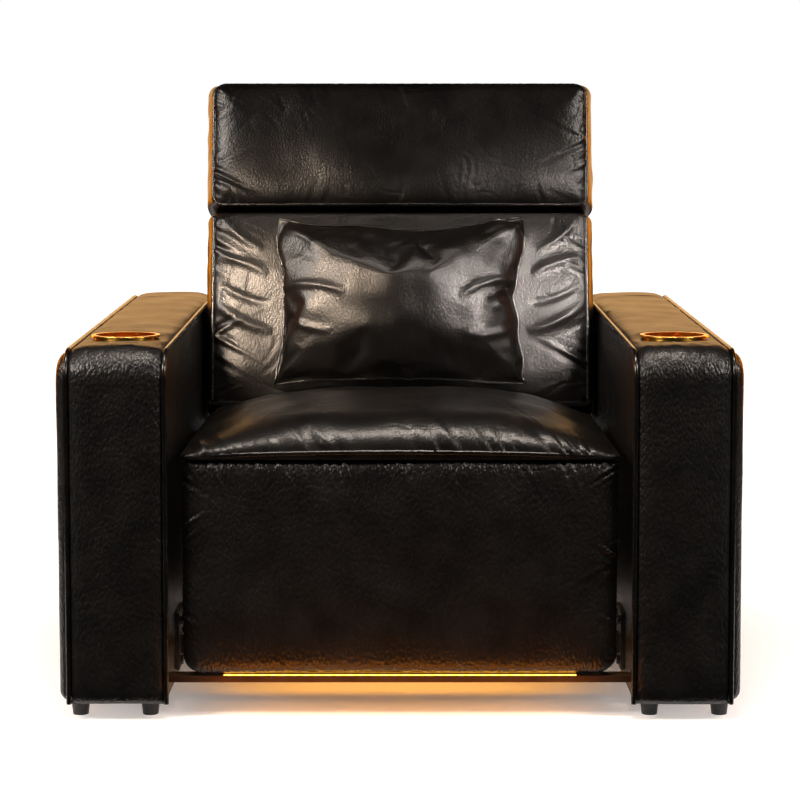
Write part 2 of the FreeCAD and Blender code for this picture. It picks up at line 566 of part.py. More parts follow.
side_tube = box(SIDE_TUBE[0], SIDE_TUBE[1], 124.0, 148.0, -216.0, 162.0)
side_tube = side_tube.cut(box(SIDE_TUBE[0] + 2.0, SIDE_TUBE[1] - 2.0, 126.0, 146.0, -214.0, 160.0))
pivot_local = (60.8, -196.4)
hinge_plate = link(pivot_local, (134.0, -203.0), 15.0, 267.0, 273.0)
back_parts = both(side_tube) + both(hinge_plate)
back_parts.append(local_tube_x(128.0, 148.0, -214.0, -194.0, 266.0))
back_parts.append(local_tube_x(128.0, 148.0, 8.0, 28.0, 266.0))
back_parts.append(local_tube_x(124.0, 139.0, 142.0, 160.0, 266.0))
pivot_tube = rod_x(pivot_local[0], pivot_local[1], 12.0, -273.0, 273.0)
back_parts.append(pivot_tube)
ear_plate = link(HEAD_PIVOT, (131.5, 151.0), 11.0, 250.0, 254.0)
head_pin = rod_x(HEAD_PIVOT[0], HEAD_PIVOT[1], 5.0, 253.0, 262.5)
back_parts += both(fuse([ear_plate, head_pin]))
# Clevis for the headrest actuator
for x in (-20.0, 16.0):
    back_parts.append(link((144.0, 18.0), (166.0, 18.0), 9.0, x, x + 4.0))
back_frame_local = fuse(back_parts)
back_frame = lean(back_frame_local)
lever_angle = math.radians(20.0)
lever_tip = (RECLINE_PIVOT[0] + 110.0 * math.sin(lever_angle), RECLINE_PIVOT[1] - 110.0 * math.cos(lever_angle))
lever = link(RECLINE_PIVOT, lever_tip, 13.0, 117.0, 123.0)
back_frame = fuse([back_frame, lever])
back_frame = back_frame.cut(rod_x(lever_tip[0], lever_tip[1], 4.4, 110.0, 130.0))
clevis_bore = lean(rod_x(166.0, 18.0, 4.3, -30.0, 30.0))
back_frame = back_frame.cut(clevis_bore)
save(back_frame, "back_frame")
print("recline lever tip", [round(v, 2) for v in lever_tip])

# Elastic webbing across the back frame
straps = []
for i in range(6):
    u = -172.0 + 54.0 * i
    straps.append(box(-288.0, 288.0, 121.0, 123.9, u, u + 40.0))
for x in (-180.0, 130.0):
    straps.append(box(x, x + 50.0, 119.5, 121.0, -172.0, 138.0))
save(lean(fuse(straps)), "back_webbing")


def back_outline(x, t, rim):
    """Side outline (n, u) of the back cushion at one station across."""
    front = 9.0 * t * t + 40.0 * rim
    shrink = 2.0 * t + 15.0 * rim
    rear = 118.0 - 18.0 * rim
    points = [(rear, -172.0 + shrink), (7.0 + front, -172.0 + shrink), (-3.0 + front, 0.0),
              (9.0 + front, 178.0 - shrink), (rear, 178.0 - shrink)]
    return Part.Wire(rounded_edges(points, [6.0, 18.0, 1400.0, 20.0, 6.0], x, True))


back_cushion = loft(crowned_stations(BACK_HALF, 334.0, back_outline), True)
back_cord_edges = [Part.Arc(V(335.0, 18.0, -168.0), V(335.0, 9.0, 0.0), V(335.0, 19.0, 166.0)).toShape()]
back_cord = cord(back_cord_edges, PIPE_R)
groove_floor = [(14.0 + 9.5 * (u / 168.0) ** 2, u) for u in (-190.0, -120.0, -60.0, 0.0, 60.0, 120.0, 190.0)]
groove_outline = [(-30.0, -190.0)] + groove_floor + [(-30.0, 190.0)]
back_groove = prism(groove_outline, [0.0] * len(groove_outline), 330.7, 339.3)
ear_slot = link(HEAD_PIVOT, (140.0, 146.0), 12.5, 249.0, 255.0)
back_cushion = back_cushion.cut(back_groove).cut(mirror(back_groove))
cushion_slot = prism([(20.0, 204.0), (134.0, 134.0), (150.0, 134.0), (150.0, 215.0), (20.0, 215.0)],
                     [0.0] * 5, 248.7, 255.3)
back_cushion = back_cushion.cut(cushion_slot).cut(mirror(cushion_slot))
back_cushion = lean(back_cushion)
save(back_cushion, "back_cushion")
save(lean(back_cord), "back_piping_right")
save(lean(mirror(back_cord)), "back_piping_left")

# Rear shell of the back, a padded pan over the frame
pan_outline = [(119.0, -190.0), (119.0, 176.0), (197.0, 176.0), (197.0, -190.0)]
pan = prism(pan_outline, [3.0, 3.0, 24.0, 14.0], -346.0, 346.0)
pan_rims = []
for edge in pan.Edges:
    near_side = abs(abs(edge.BoundBox.XMin) - 346.0) < 0.01 and edge.BoundBox.XLength < 0.01
    if near_side and edge.BoundBox.YMax > 190.0:
        pan_rims.append(edge)
pan = pan.makeFillet(12.0, pan_rims)
pan = pan.cut(box(-337.0, 337.0, 110.0, 184.0, -200.0, 167.0))
pan = pan.cut(box(-18.0, 18.0, 110.0, 184.0, 160.0, 180.0))
pan = pan.cut(ear_slot).cut(mirror(ear_slot))
save(lean(pan), "back_rear_shell")

# Headrest: board with hinge plates, cushion and welt
head_board = box(-300.0, 300.0, 125.0, 137.0, 205.0, 400.0)
hinge_arm = link(HEAD_PIVOT, (131.0, 215.0), 11.0, 257.0, 261.0).cut(rod_x(HEAD_PIVOT[0], HEAD_PIVOT[1], 5.5, 256.0, 262.0))
head_lug = []
for x in (-20.0, 16.0):
    head_lug.append(link((134.0, 250.0), (163.0, 250.0), 9.0, x, x + 4.0))
head_frame = fuse([head_board] + both(hinge_arm) + head_lug)
lug_bore = rod_x(163.0, 250.0, 4.3, -30.0, 30.0)
head_frame = head_frame.cut(lug_bore)
save(lean(head_frame), "headrest_frame")


def head_outline(x, t, rim):
    """Side outline (n, u) of the headrest at one station across."""
    front = 7.0 * t * t + 42.0 * rim
    shrink = 7.0 * t * t + 26.0 * rim
    rear = 190.0 - 20.0 * rim
    points = [(rear, 182.0 + shrink * 0.4), (front, CREASE_U + shrink * 0.4), (-7.0 + front, 300.0),
              (6.0 + front, HEAD_TOP_U - shrink), (rear - 6.0, HEAD_TOP_U - 6.0 - shrink)]
    return Part.Wire(rounded_edges(points, [26.0, 31.0, 480.0, 28.0, 40.0], x, True))


head_cushion = loft(crowned_stations(HEAD_HALF, 338.0, head_outline), True)
head_loop = []
for edge in rounded_edges([(-337.0, 189.0), (337.0, 189.0), (337.0, 409.0), (-337.0, 409.0)],
                          [14.0, 14.0, 22.0, 22.0], 0.0, True):
    turned = edge.copy()
    turned.rotate(V(0, 0, 0), V(0, 0, 1), -90.0)
    turned.translate(V(0, 9.0, 0))
    head_loop.append(turned)
head_cord = cord(head_loop, PIPE_R)
head_groove = cord(head_loop, PIPE_R + 0.3)
head_cushion = head_cushion.cut(head_groove)
head_cushion = head_cushion.cut(head_frame.cut(rod_x(HEAD_PIVOT[0], HEAD_PIVOT[1], 5.5, 255.9, 262.1)))
# Slots for the hinge ears through the whole tilt, and the actuator's pocket
swing = []
for i in range(5):
    turn = math.radians(-25.8 - 32.0 * i / 4.0)
    swing.append(link(HEAD_PIVOT, (HEAD_PIVOT[0] + 190.0 * math.cos(turn), HEAD_PIVOT[1] + 190.0 * math.sin(turn)),
                      13.0, 248.5, 255.5))
pin_pocket = rod_x(HEAD_PIVOT[0], HEAD_PIVOT[1], 6.0, 252.0, 264.0)
swing_slot = fuse(swing + [pin_pocket])
rod_pocket = box(-24.0, 24.0, 137.0, 182.0, 150.0, 266.0)
rod_pocket = fuse([rod_pocket, box(-24.0, 24.0, 118.0, 182.0, 150.0, 204.0)])
head_cushion = head_cushion.cut(swing_slot).cut(mirror(swing_slot)).cut(rod_pocket)
save(lean(head_cushion), "headrest_cushion")
save(lean(head_cord), "headrest_piping")


def actuator(start, tip, x, stroke, half, rod_r, tab_half, reach, fork):
    """Linear actuator between two (y, z) pins: body with motor and rear pin, and the sliding rod."""
    length = math.hypot(tip[0] - start[0], tip[1] - start[1])
    angle = math.degrees(math.atan2(tip[1] - start[1], tip[0] - start[0]))
    tube_end = length - stroke - 40.0
    body = fuse([
        box(-half, half, 12.0, tube_end, -half, half),
        box(-tab_half, tab_half, -9.0, 14.0, -9.0, 9.0),
        rod_x(0.0, 0.0, 4.0, -tab_half - 6.0, tab_half + 6.0),
        box(half - 2.0, half + reach, 14.0, 14.0 + 3.0 * half, -half * 0.9, half * 0.9),
    ])
    body = body.cut(Part.makeCylinder(rod_r + 0.6, tube_end, V(0, 30.0, 0), V(0, 1, 0)))
    rod_parts = [Part.makeCylinder(rod_r, length - 62.0 - stroke, V(0, 34.0 + stroke, 0), V(0, 1, 0))]
    if fork:
        rod_parts.append(box(-8.5, 8.5, length - 36.0, length - 26.0, -9.0, 9.0))
        rod_parts.append(box(4.5, 8.5, length - 30.0, length + 9.0, -9.0, 9.0))
        rod_parts.append(box(-8.5, -4.5, length - 30.0, length + 9.0, -9.0, 9.0))
    else:
        rod_parts.append(box(-14.0, 14.0, length - 30.0, length + 7.0, -7.0, 7.0))
    rod = fuse(rod_parts).cut(Part.makeCylinder(4.3, 32.0, V(-16.0, length, 0), V(1, 0, 0)))
    placed = []
    for piece in (body, rod):
        copy = piece.copy()
        copy.rotate(V(0, 0, 0), V(1, 0, 0), angle)
        copy.translate(V(x, start[0], start[1]))
        placed.append(copy)
    return placed[0], placed[1], length, angle


# Footrest and recline actuators under the seat, and the small headrest actuator in the back
FOOT_ANCHOR = (70.0, 206.0)
RECLINE_ANCHOR = (-200.0, 277.0)
HEAD_ANCHOR = (166.0, 18.0)
HEAD_LUG = (163.0, 250.0)
foot_body, foot_rod, foot_len, foot_angle = actuator(FOOT_ANCHOR, crank_tip, -64.0, 0.0, 18.0, 7.0, 21.0, 34.0, True)
save(foot_body, "footrest_actuator_body")
save(foot_rod, "footrest_actuator_rod")
print("footrest actuator length %.2f angle %.2f" % (foot_len, foot_angle))
rec_body, rec_rod, rec_len, rec_angle = actuator(RECLINE_ANCHOR, lever_tip, 120.0, 76.0, 18.0, 7.0, 19.0, 34.0, True)
save(rec_body, "recline_actuator_body")
save(rec_rod, "recline_actuator_rod")
print("recline actuator length %.2f angle %.2f" % (rec_len, rec_angle))
tilt_body, tilt_rod, tilt_len, tilt_angle = actuator(HEAD_ANCHOR, HEAD_LUG, 0.0, 0.0, 11.0, 5.0, 15.0, 24.0, False)
save(lean(tilt_body), "headrest_actuator_body")
save(lean(tilt_rod), "headrest_actuator_rod")
print("headrest actuator length %.2f angle %.2f" % (tilt_len, tilt_angle))


def pillow_outline(x):
    """Side outline (n, u) of the loose lumbar pillow at one station across."""
    t = 1.0 - (x / 226.0) ** 2
    low = -145.0 + 8.0 * t
    high = 156.0 - 24.0 * t
    full = max(t, 0.0) ** 0.55
    middle = -30.0
    face = V(x, middle - 6.0 - 66.0 * full, (low + high) / 2)
    rear = V(x, middle + 6.0 + 14.0 * full, (low + high) / 2)
    front_arc = Part.Arc(V(x, middle - 4.0, low), face, V(x, middle - 4.0, high)).toShape()
    rear_arc = Part.Arc(V(x, middle + 4.0, high), rear, V(x, middle + 4.0, low)).toShape()
    top = Part.makeLine(V(x, middle - 4.0, high), V(x, middle + 4.0, high))
    under = Part.makeLine(V(x, middle + 4.0, low), V(x, middle - 4.0, low))
    return Part.Wire([front_arc, top, rear_arc, under])


# Loose lumbar pillow, leaning on the back cushion
pillow_x = (0.0, 60.0, 110.0, 150.0, 180.0, 202.0, 216.0, 224.0)
pillow_wires = [pillow_outline(-x) for x in reversed(pillow_x)] + [pillow_outline(x) for x in pillow_x[1:]]
save(lean(loft(pillow_wires, True)), "lumbar_pillow")
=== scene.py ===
# %% [markdown]
# # Cinema recliner seat in black leather
#
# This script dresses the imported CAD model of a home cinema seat. The steel, plywood and brass parts come from the
# CAD model and only get better finishes. Everything soft, which means the arm padding, the cushions, the welts and
# the loose pillow, is made again here, because leather over foam has crowns, pulled seams and folds that a CAD solid
# doesn't have. All lengths in the shaping code are millimetres, as in an upholsterer's drawing.

# %% Load the fixed frame
import json
import math
import bmesh
import bpy
import numpy as np
from mathutils import Matrix, Vector


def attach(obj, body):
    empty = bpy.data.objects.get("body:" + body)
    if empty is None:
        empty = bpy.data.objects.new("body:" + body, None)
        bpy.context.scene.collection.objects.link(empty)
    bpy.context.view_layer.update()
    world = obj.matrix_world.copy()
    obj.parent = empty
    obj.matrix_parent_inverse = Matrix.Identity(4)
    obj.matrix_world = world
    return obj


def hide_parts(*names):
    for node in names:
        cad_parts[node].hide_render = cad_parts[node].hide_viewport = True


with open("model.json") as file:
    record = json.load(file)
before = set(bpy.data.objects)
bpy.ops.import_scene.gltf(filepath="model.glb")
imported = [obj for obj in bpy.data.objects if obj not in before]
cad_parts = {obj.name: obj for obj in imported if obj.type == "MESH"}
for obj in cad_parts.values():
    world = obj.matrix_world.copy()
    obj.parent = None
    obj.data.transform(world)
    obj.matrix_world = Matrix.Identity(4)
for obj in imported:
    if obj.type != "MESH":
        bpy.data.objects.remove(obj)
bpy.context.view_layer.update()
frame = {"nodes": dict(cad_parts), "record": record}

# %% [markdown]
# The back leans by 13 degrees, so its parts are easiest to shape upright, in their own n and u directions: n runs
# towards the rear, square to the back, and u runs up along it. This helper turns such points into the seat's frame.

# %% The leaning back
LEAN = math.radians(13.0)
BACK_ORIGIN = (150.0, 590.0)


def leaning(x, n, u):
    """Points of the leaning back, as columns of x, y and z in millimetres."""
    y = BACK_ORIGIN[0] + n * math.cos(LEAN) + u * math.sin(LEAN)
    z = BACK_ORIGIN[1] - n * math.sin(LEAN) + u * math.cos(LEAN)
    return np.column_stack([x, y, z])


print("foot of the back", leaning(np.array([0.0]), np.array([0.0]), np.array([-172.0])).round(1).tolist())

# %% [markdown]
# Upholstery starts from blocks. A cube cut into many small faces can be bent into any cushion by moving its points,
# and it stays closed whatever is done to it. The faces are about as wide as the smallest fold that should show.

# %% A block of small faces and the moves on its points
def block(columns, rows, layers):
    """Closed block two units wide, cut evenly along its three directions."""
    bm = bmesh.new()
    bmesh.ops.create_cube(bm, size=2.0)
    for axis, cuts in enumerate((columns, rows, layers)):
        along = [e for e in bm.edges if abs(e.verts[0].co[axis] - e.verts[1].co[axis]) > 0.5]
        bmesh.ops.subdivide_edges(bm, edges=along, cuts=cuts, use_grid_fill=True)
    return bm


def read_points(mesh, what="co"):
    values = np.zeros(len(mesh.vertices) * 3)
    mesh.vertices.foreach_get(what, values)
    return values.reshape(-1, 3)


def write_points(mesh, points):
    mesh.vertices.foreach_set("co", np.ascontiguousarray(points, dtype=np.float64).ravel())
    mesh.update()


def to_object(bm, name):
    """Turn a bmesh into an object at the origin."""
    bmesh.ops.recalc_face_normals(bm, faces=bm.faces[:])
    mesh = bpy.data.meshes.new(name)
    bm.to_mesh(mesh)
    bm.free()
    piece = bpy.data.objects.new(name, mesh)
    bpy.context.scene.collection.objects.link(piece)
    return piece


def apply_modifiers(piece):
    """Keep the shape that the piece's modifiers give, and take the modifiers off."""
    depsgraph = bpy.context.evaluated_depsgraph_get()
    shaped = bpy.data.meshes.new_from_object(piece.evaluated_get(depsgraph))
    piece.modifiers.clear()
    old = piece.data
    piece.data = shaped
    shaped.name = piece.name
    bpy.data.meshes.remove(old)


def refine(piece, levels=1):
    """Divide every face in four and round the form."""
    finer = piece.modifiers.new("finer", "SUBSURF")
    finer.levels = levels
    finer.render_levels = levels
    apply_modifiers(piece)


def push(piece, amount):
    """Move every point outwards by its amount in millimetres."""
    points = read_points(piece.data)
    outwards = read_points(piece.data, "normal")
    write_points(piece.data, points + outwards * amount[:, None] * 0.001)


def cut_away(piece, bm, name):
    """Cut a closed form out of a piece."""
    cutter = to_object(bm, name)
    difference = piece.modifiers.new("cut", "BOOLEAN")
    difference.object = cutter
    difference.operation = "DIFFERENCE"
    difference.solver = "EXACT"
    apply_modifiers(piece)
    mesh = cutter.data
    bpy.data.objects.remove(cutter)
    bpy.data.meshes.remove(mesh)


print("helpers ready")

# %% [markdown]
# Leather never lies perfectly even. The helpers below give three kinds of unevenness: soft ripples from the foam
# under the hide, thin branching creases in the hide itself, and gathers, the small pleats that start at a sewn edge
# because the hide is pulled round the foam. They are sums of seeded waves, so every run gives the same seat.

# %% Ripples, creases and gathers
def ripples(points, size, seed, count=14):
    """Even noise, mostly between -1 and 1, whose bumps are about size apart."""
    dice = np.random.default_rng(seed)
    total = np.zeros(len(points))
    for _ in range(count):
        direction = dice.normal(size=points.shape[1])
        direction /= np.linalg.norm(direction)
        turns = points @ direction / (size * dice.uniform(0.75, 1.6))
        total += np.sin(2 * math.pi * (turns + dice.uniform()))
    return total / math.sqrt(count)


def creases(points, size, seed, thin=6.0):
    """Thin wandering lines: 1 on a line, 0 between them."""
    bent = points.copy()
    for axis in range(points.shape[1]):
        bent[:, axis] += 0.3 * size * ripples(points, size * 1.4, seed + 31 * axis)
    return np.exp(-(ripples(bent, size, seed) * thin) ** 2)


def gathers(along, away, pitch, reach, seed, slant=0.25):
    """Pleats across a seam: along runs with the seam, away is the distance from it."""
    line = np.column_stack([along + slant * away * np.sign(ripples(along[:, None], pitch * 9, seed + 7))])
    pleats = ripples(line, pitch, seed, 8)
    strength = 0.55 + 0.45 * ripples(line, pitch * 6, seed + 3, 6)
    length = reach * (0.75 + 0.35 * ripples(line, pitch * 2.3, seed + 5, 6))
    return pleats * np.clip(strength, 0.0, 1.4) * np.exp(-np.clip(away, 0.0, None) / np.clip(length, 3.0, None))


def fold(points, start, end, width, bend=0.0):
    """One soft fold between two points on a face: 1 along its line, fading at the sides and ends."""
    start = np.array(start, float)
    run = np.array(end, float) - start
    length = np.linalg.norm(run)
    run /= length
    side = np.array([-run[1], run[0]])
    t = (points - start) @ run / length
    off = (points - start) @ side - bend * 4.0 * t * (1.0 - t)
    ends = np.clip(t * (1.0 - t) * 4.0, 0.0, 1.0) * ((t > 0) & (t < 1))
    return np.exp(-(off / width) ** 2) * ends ** 0.7


def round_off(distance, radius):
    """Height, from 0 to 1, of a rounded rim at a distance from its edge."""
    short = np.clip(distance / radius, 0.0, 1.0)
    return np.sqrt(np.clip(1.0 - (1.0 - short) ** 2, 0.0, 1.0))


print("unevenness ready")

# %% [markdown]
# A boxed cushion has a front panel sewn to side strips, called gussets. The block becomes one like this: its first
# two directions give the panel's outline, with rounded corners, and its third direction runs from the sewn edge to
# the rear. The panel is crowned over the foam, and the gussets swell outwards between the seam and the rear.

# %% A boxed cushion from a block
def spread(t, amount=0.8):
    """Move even steps closer to the edges, where the form turns most."""
    return np.sin(t * amount * math.pi / 2) / math.sin(amount * math.pi / 2)


def rounded_outline(u, v, half_u, half_v, radius):
    """Outline with rounded corners, and every point's distance from its edge."""
    pu, pv = u * half_u, v * half_v
    inner_u = np.clip(pu, -(half_u - radius), half_u - radius)
    inner_v = np.clip(pv, -(half_v - radius), half_v - radius)
    du, dv = pu - inner_u, pv - inner_v
    reach = np.maximum(np.abs(du), np.abs(dv))
    length = np.maximum(np.hypot(du, dv), 1e-9)
    away = np.minimum(half_u - np.abs(pu), half_v - np.abs(pv))
    return inner_u + du / length * reach, inner_v + dv / length * reach, away


def swell(m, bulge, rear_round):
    """How far a gusset stands out from the seam line, from the seam (0) to the rear (1)."""
    turn = np.clip((m - 0.62) / 0.38, 0.0, 1.0)
    stand_out = bulge * np.sin(math.pi * np.clip(m, 0.0, 1.0) ** 0.75)
    return stand_out - rear_round * (1.0 - np.sqrt(1.0 - 0.98 * turn ** 2))


print("rim height at a third of its radius", round_off(np.array([1.0]), 3.0).round(3))

# %% [markdown]
# ## Finishes
#
# The hide is cowhide, dyed black through and sprayed with a thin semi-gloss lacquer, then embossed with a pebble
# grain. The grain bump comes from rounded cells, and the base colour is darkened along the cells' borders, a painted
# shade in the grooves between them; the slow change of gloss comes from the lacquer. The real pebbles are about
# 1.5 mm; they are drawn near 4 mm so that they show.

# %% Colour and node helpers
def colour(code):
    """sRGB hex value as linear red, green, blue and alpha."""
    parts = [int(code[i:i + 2], 16) / 255.0 for i in (1, 3, 5)]
    return tuple(p / 12.92 if p <= 0.04045 else ((p + 0.055) / 1.055) ** 2.4 for p in parts) + (1.0,)


def add(tree, kind, settings=None, **inputs):
    """Add a node, set it up, and link or fill its inputs. Inputs are named by label or i0, i1 and so on."""
    node = tree.nodes.new(kind)
    for key, value in (settings or {}).items():
        setattr(node, key, value)
    for key, value in inputs.items():
        socket = node.inputs[int(key[1:])] if key[1:].isdigit() else node.inputs[key.replace("_", " ")]
        if isinstance(value, bpy.types.NodeSocket):
            tree.links.new(value, socket)
        else:
            socket.default_value = value
    return node


def new_finish(name, **shader_values):
    """Empty finish with its shader. Values that are the same all over go straight on the shader's sockets."""
    finish = bpy.data.materials.new(name)
    finish.use_nodes = True
    tree = finish.node_tree
    tree.nodes.clear()
    shader = add(tree, "ShaderNodeBsdfPrincipled", None, **shader_values)
    output = add(tree, "ShaderNodeOutputMaterial")
    tree.links.new(shader.outputs["BSDF"], output.inputs["Surface"])
    return finish, tree, shader


def in_millimetres(tree, turn=(0.0, 0.0, 0.0), stretch=(1.0, 1.0, 1.0)):
    """Object coordinates counted in millimetres, turned and stretched."""
    place = add(tree, "ShaderNodeTexCoord")
    mapped = add(tree, "ShaderNodeMapping", None, Vector=place.outputs["Object"], Rotation=turn,
                 Scale=tuple(1000.0 * s for s in stretch))
    return mapped.outputs["Vector"]


def ranged(tree, value, low, high, to_low, to_high):
    """Stretch a value's range onto another one."""
    node = add(tree, "ShaderNodeMapRange", None, Value=value, From_Min=low, From_Max=high,
               To_Min=to_low, To_Max=to_high)
    return node.outputs["Result"]


print("black hide", [round(c, 4) for c in colour("#16120f")])

# %% Lacquered cowhide
def cowhide(name, dark, light, pebble_mm, pebble_depth, vein_depth, gloss, shine, rubbed_above=None):
    """Pigmented, lacquered and embossed cowhide. pebble_depth and vein_depth are millimetres, and above the height
    rubbed_above, in millimetres, the pebbles are stretched and rubbed nearly flat."""
    finish, tree, shader = new_finish(name, IOR=1.5, Specular_IOR_Level=shine)
    straight = in_millimetres(tree)
    slow = add(tree, "ShaderNodeTexNoise", None, Vector=straight, Scale=1.0 / 9.0, Detail=2.0)
    bend = add(tree, "ShaderNodeVectorMath", {"operation": "MULTIPLY_ADD"}, i0=slow.outputs["Color"],
               i1=(5.0, 5.0, 5.0), i2=straight)
    slanted = add(tree, "ShaderNodeMapping", None, Vector=bend.outputs["Vector"],
                  Rotation=(0.0, math.radians(38), 0.0), Scale=(1.0, 1.0, 0.55))
    cells = add(tree, "ShaderNodeTexVoronoi", {"feature": "SMOOTH_F1"}, Vector=slanted.outputs["Vector"],
                Scale=1.0 / pebble_mm, Smoothness=0.35, Randomness=0.9)
    borders = add(tree, "ShaderNodeTexVoronoi", {"feature": "DISTANCE_TO_EDGE"}, Vector=slanted.outputs["Vector"],
                  Scale=1.0 / pebble_mm, Randomness=0.9)
    fine = add(tree, "ShaderNodeTexNoise", None, Vector=straight, Scale=1.0 / 1.6, Detail=4.0, Roughness=0.6)
    veins = add(tree, "ShaderNodeTexNoise", {"noise_type": "RIDGED_MULTIFRACTAL", "normalize": True},
                Vector=slanted.outputs["Vector"], Scale=1.0 / 38.0, Detail=3.0, Roughness=0.6, Lacunarity=2.1)
    tone = add(tree, "ShaderNodeTexNoise", None, Vector=straight, Scale=1.0 / 55.0, Detail=3.0)
    mixed = add(tree, "ShaderNodeMix", {"data_type": "RGBA"},
                i0=ranged(tree, tone.outputs["Fac"], 0.3, 0.7, 0.0, 1.0), i6=colour(dark), i7=colour(light))
    # Painted shade: the base colour is darkened along the cells' borders, in the grooves between the pebbles
    groove_shade = add(tree, "ShaderNodeMix", {"data_type": "RGBA", "blend_type": "MULTIPLY"}, i0=0.55, i6=mixed.outputs[2])
    shade = ranged(tree, borders.outputs["Distance"], 0.0, 0.18, 0.35, 1.0)
    tree.links.new(shade, groove_shade.inputs[7])
    tree.links.new(groove_shade.outputs[2], shader.inputs["Base Color"])
    matt = add(tree, "ShaderNodeMath", {"operation": "MULTIPLY_ADD"}, i0=tone.outputs["Fac"], i1=0.16,
               i2=gloss - 0.08)
    tree.links.new(matt.outputs["Value"], shader.inputs["Roughness"])
    pebbles = cells.outputs["Distance"]
    if rubbed_above:
        level = add(tree, "ShaderNodeSeparateXYZ", None, Vector=straight)
        worn_down = ranged(tree, level.outputs["Z"], rubbed_above - 25.0, rubbed_above, 1.0, 0.22)
        pebbles = add(tree, "ShaderNodeMath", {"operation": "MULTIPLY"}, i0=pebbles, i1=worn_down).outputs["Value"]
    bump = None
    for height, depth in ((veins.outputs["Fac"], vein_depth), (pebbles, -pebble_depth),
                          (fine.outputs["Fac"], 0.10 * pebble_depth)):
        step = add(tree, "ShaderNodeBump", {"invert": depth < 0}, Strength=1.0, Distance=abs(depth) * 0.001,
                   Height=height)
        if bump:
            tree.links.new(bump.outputs["Normal"], step.inputs["Normal"])
        bump = step
    tree.links.new(bump.outputs["Normal"], shader.inputs["Normal"])
    return finish


# Arms and footrest panel: the heavier, plainly pebbled side of the hide, rubbed smooth on the arm tops
pebbled_cowhide = cowhide("pebbled_cowhide", "#0b0908", "#13100e", 4.2, 1.2, 0.5, 0.40, 0.50, 572.0)
# Seat, back, headrest and pillow: softer hide with a shallow grain that stretches smooth over the foam
smooth_cowhide = cowhide("smooth_cowhide", "#0a0807", "#120f0d", 3.0, 0.30, 0.9, 0.35, 0.42)
# Welts: a narrow strip of the same hide pulled tight round a cord, so its grain is nearly gone and it shines
welt_cowhide = cowhide("welt_cowhide", "#070605", "#0f0d0b", 2.4, 0.12, 0.15, 0.26, 0.60)
print("hides", pebbled_cowhide.name, smooth_cowhide.name, welt_cowhide.name)

# %% [markdown]
# The hard parts each get the finish of their trade: spun brass for the cups, powder-coated steel for the frames,
# zinc-plated steel for links and springs, ground steel rods, poplar plywood, moulded plastics, woven elastic webbing
# and an acrylic diffuser over the light strip.

# %% Spun brass
spun_brass, tree, shader = new_finish("spun_brass", Metallic=1.0, Base_Color=colour("#f0b64e"))
# The cups were spun on a lathe: the tool leaves fine rings round each cup's axis, drawn here 0.8 mm apart
place = add(tree, "ShaderNodeTexCoord")
split = add(tree, "ShaderNodeSeparateXYZ", None, Vector=place.outputs["Object"])
across = add(tree, "ShaderNodeMath", {"operation": "ABSOLUTE"}, i0=split.outputs["X"])
across = add(tree, "ShaderNodeMath", {"operation": "SUBTRACT"}, i0=across.outputs[0], i1=0.431)
along = add(tree, "ShaderNodeMath", {"operation": "ADD"}, i0=split.outputs["Y"], i1=0.326)
flat = add(tree, "ShaderNodeCombineXYZ", None, X=across.outputs[0], Y=along.outputs[0], Z=0.0)
radius = add(tree, "ShaderNodeVectorMath", {"operation": "LENGTH"}, i0=flat.outputs["Vector"])
rings = add(tree, "ShaderNodeCombineXYZ", None, X=radius.outputs["Value"], Y=0.0, Z=split.outputs["Z"])
lines = add(tree, "ShaderNodeTexNoise", None, Vector=rings.outputs["Vector"], Scale=1250.0, Detail=2.0)
tree.links.new(ranged(tree, lines.outputs["Fac"], 0.3, 0.7, 0.16, 0.30), shader.inputs["Roughness"])
bump = add(tree, "ShaderNodeBump", None, Strength=0.4, Distance=0.00008, Height=lines.outputs["Fac"])
tree.links.new(bump.outputs["Normal"], shader.inputs["Normal"])
print("brass", spun_brass.name)

# %% Coated, plated and ground steel
def steel(name, code, rough, speckle_mm, depth, metallic):
    """Steel under powder coat or plating. speckle_mm is the size of the orange peel or of the bloom."""
    finish, tree, shader = new_finish(name, Metallic=metallic)
    where = in_millimetres(tree)
    peel = add(tree, "ShaderNodeTexNoise", None, Vector=where, Scale=1.0 / speckle_mm, Detail=3.0)
    cloud = add(tree, "ShaderNodeTexNoise", None, Vector=where, Scale=1.0 / 45.0, Detail=3.0)
    base = colour(code)
    darker = tuple(c * 0.72 for c in base[:3]) + (1.0,)
    mixed = add(tree, "ShaderNodeMix", {"data_type": "RGBA"},
                i0=ranged(tree, cloud.outputs["Fac"], 0.35, 0.65, 0.0, 1.0), i6=darker, i7=base)
    tree.links.new(mixed.outputs[2], shader.inputs["Base Color"])
    tree.links.new(ranged(tree, cloud.outputs["Fac"], 0.3, 0.7, rough - 0.06, rough + 0.08), shader.inputs["Roughness"])
    bump = add(tree, "ShaderNodeBump", None, Strength=0.6, Distance=depth * 0.001, Height=peel.outputs["Fac"])
    tree.links.new(bump.outputs["Normal"], shader.inputs["Normal"])
    return finish


powder_coated_steel = steel("powder_coated_steel", "#1d1f21", 0.5, 1.2, 0.05, 0.0)
zinc_plated_steel = steel("zinc_plated_steel", "#a9adb0", 0.36, 2.5, 0.02, 1.0)
spring_steel = steel("oiled_spring_steel", "#6f7276", 0.34, 1.0, 0.02, 1.0)
ground_steel = steel("ground_steel_rod", "#c6c9cc", 0.18, 0.6, 0.01, 1.0)
rail_paint = steel("bronze_painted_steel", "#3b2412", 0.35, 0.9, 0.03, 0.4)
print("steels", powder_coated_steel.name, zinc_plated_steel.name, ground_steel.name)

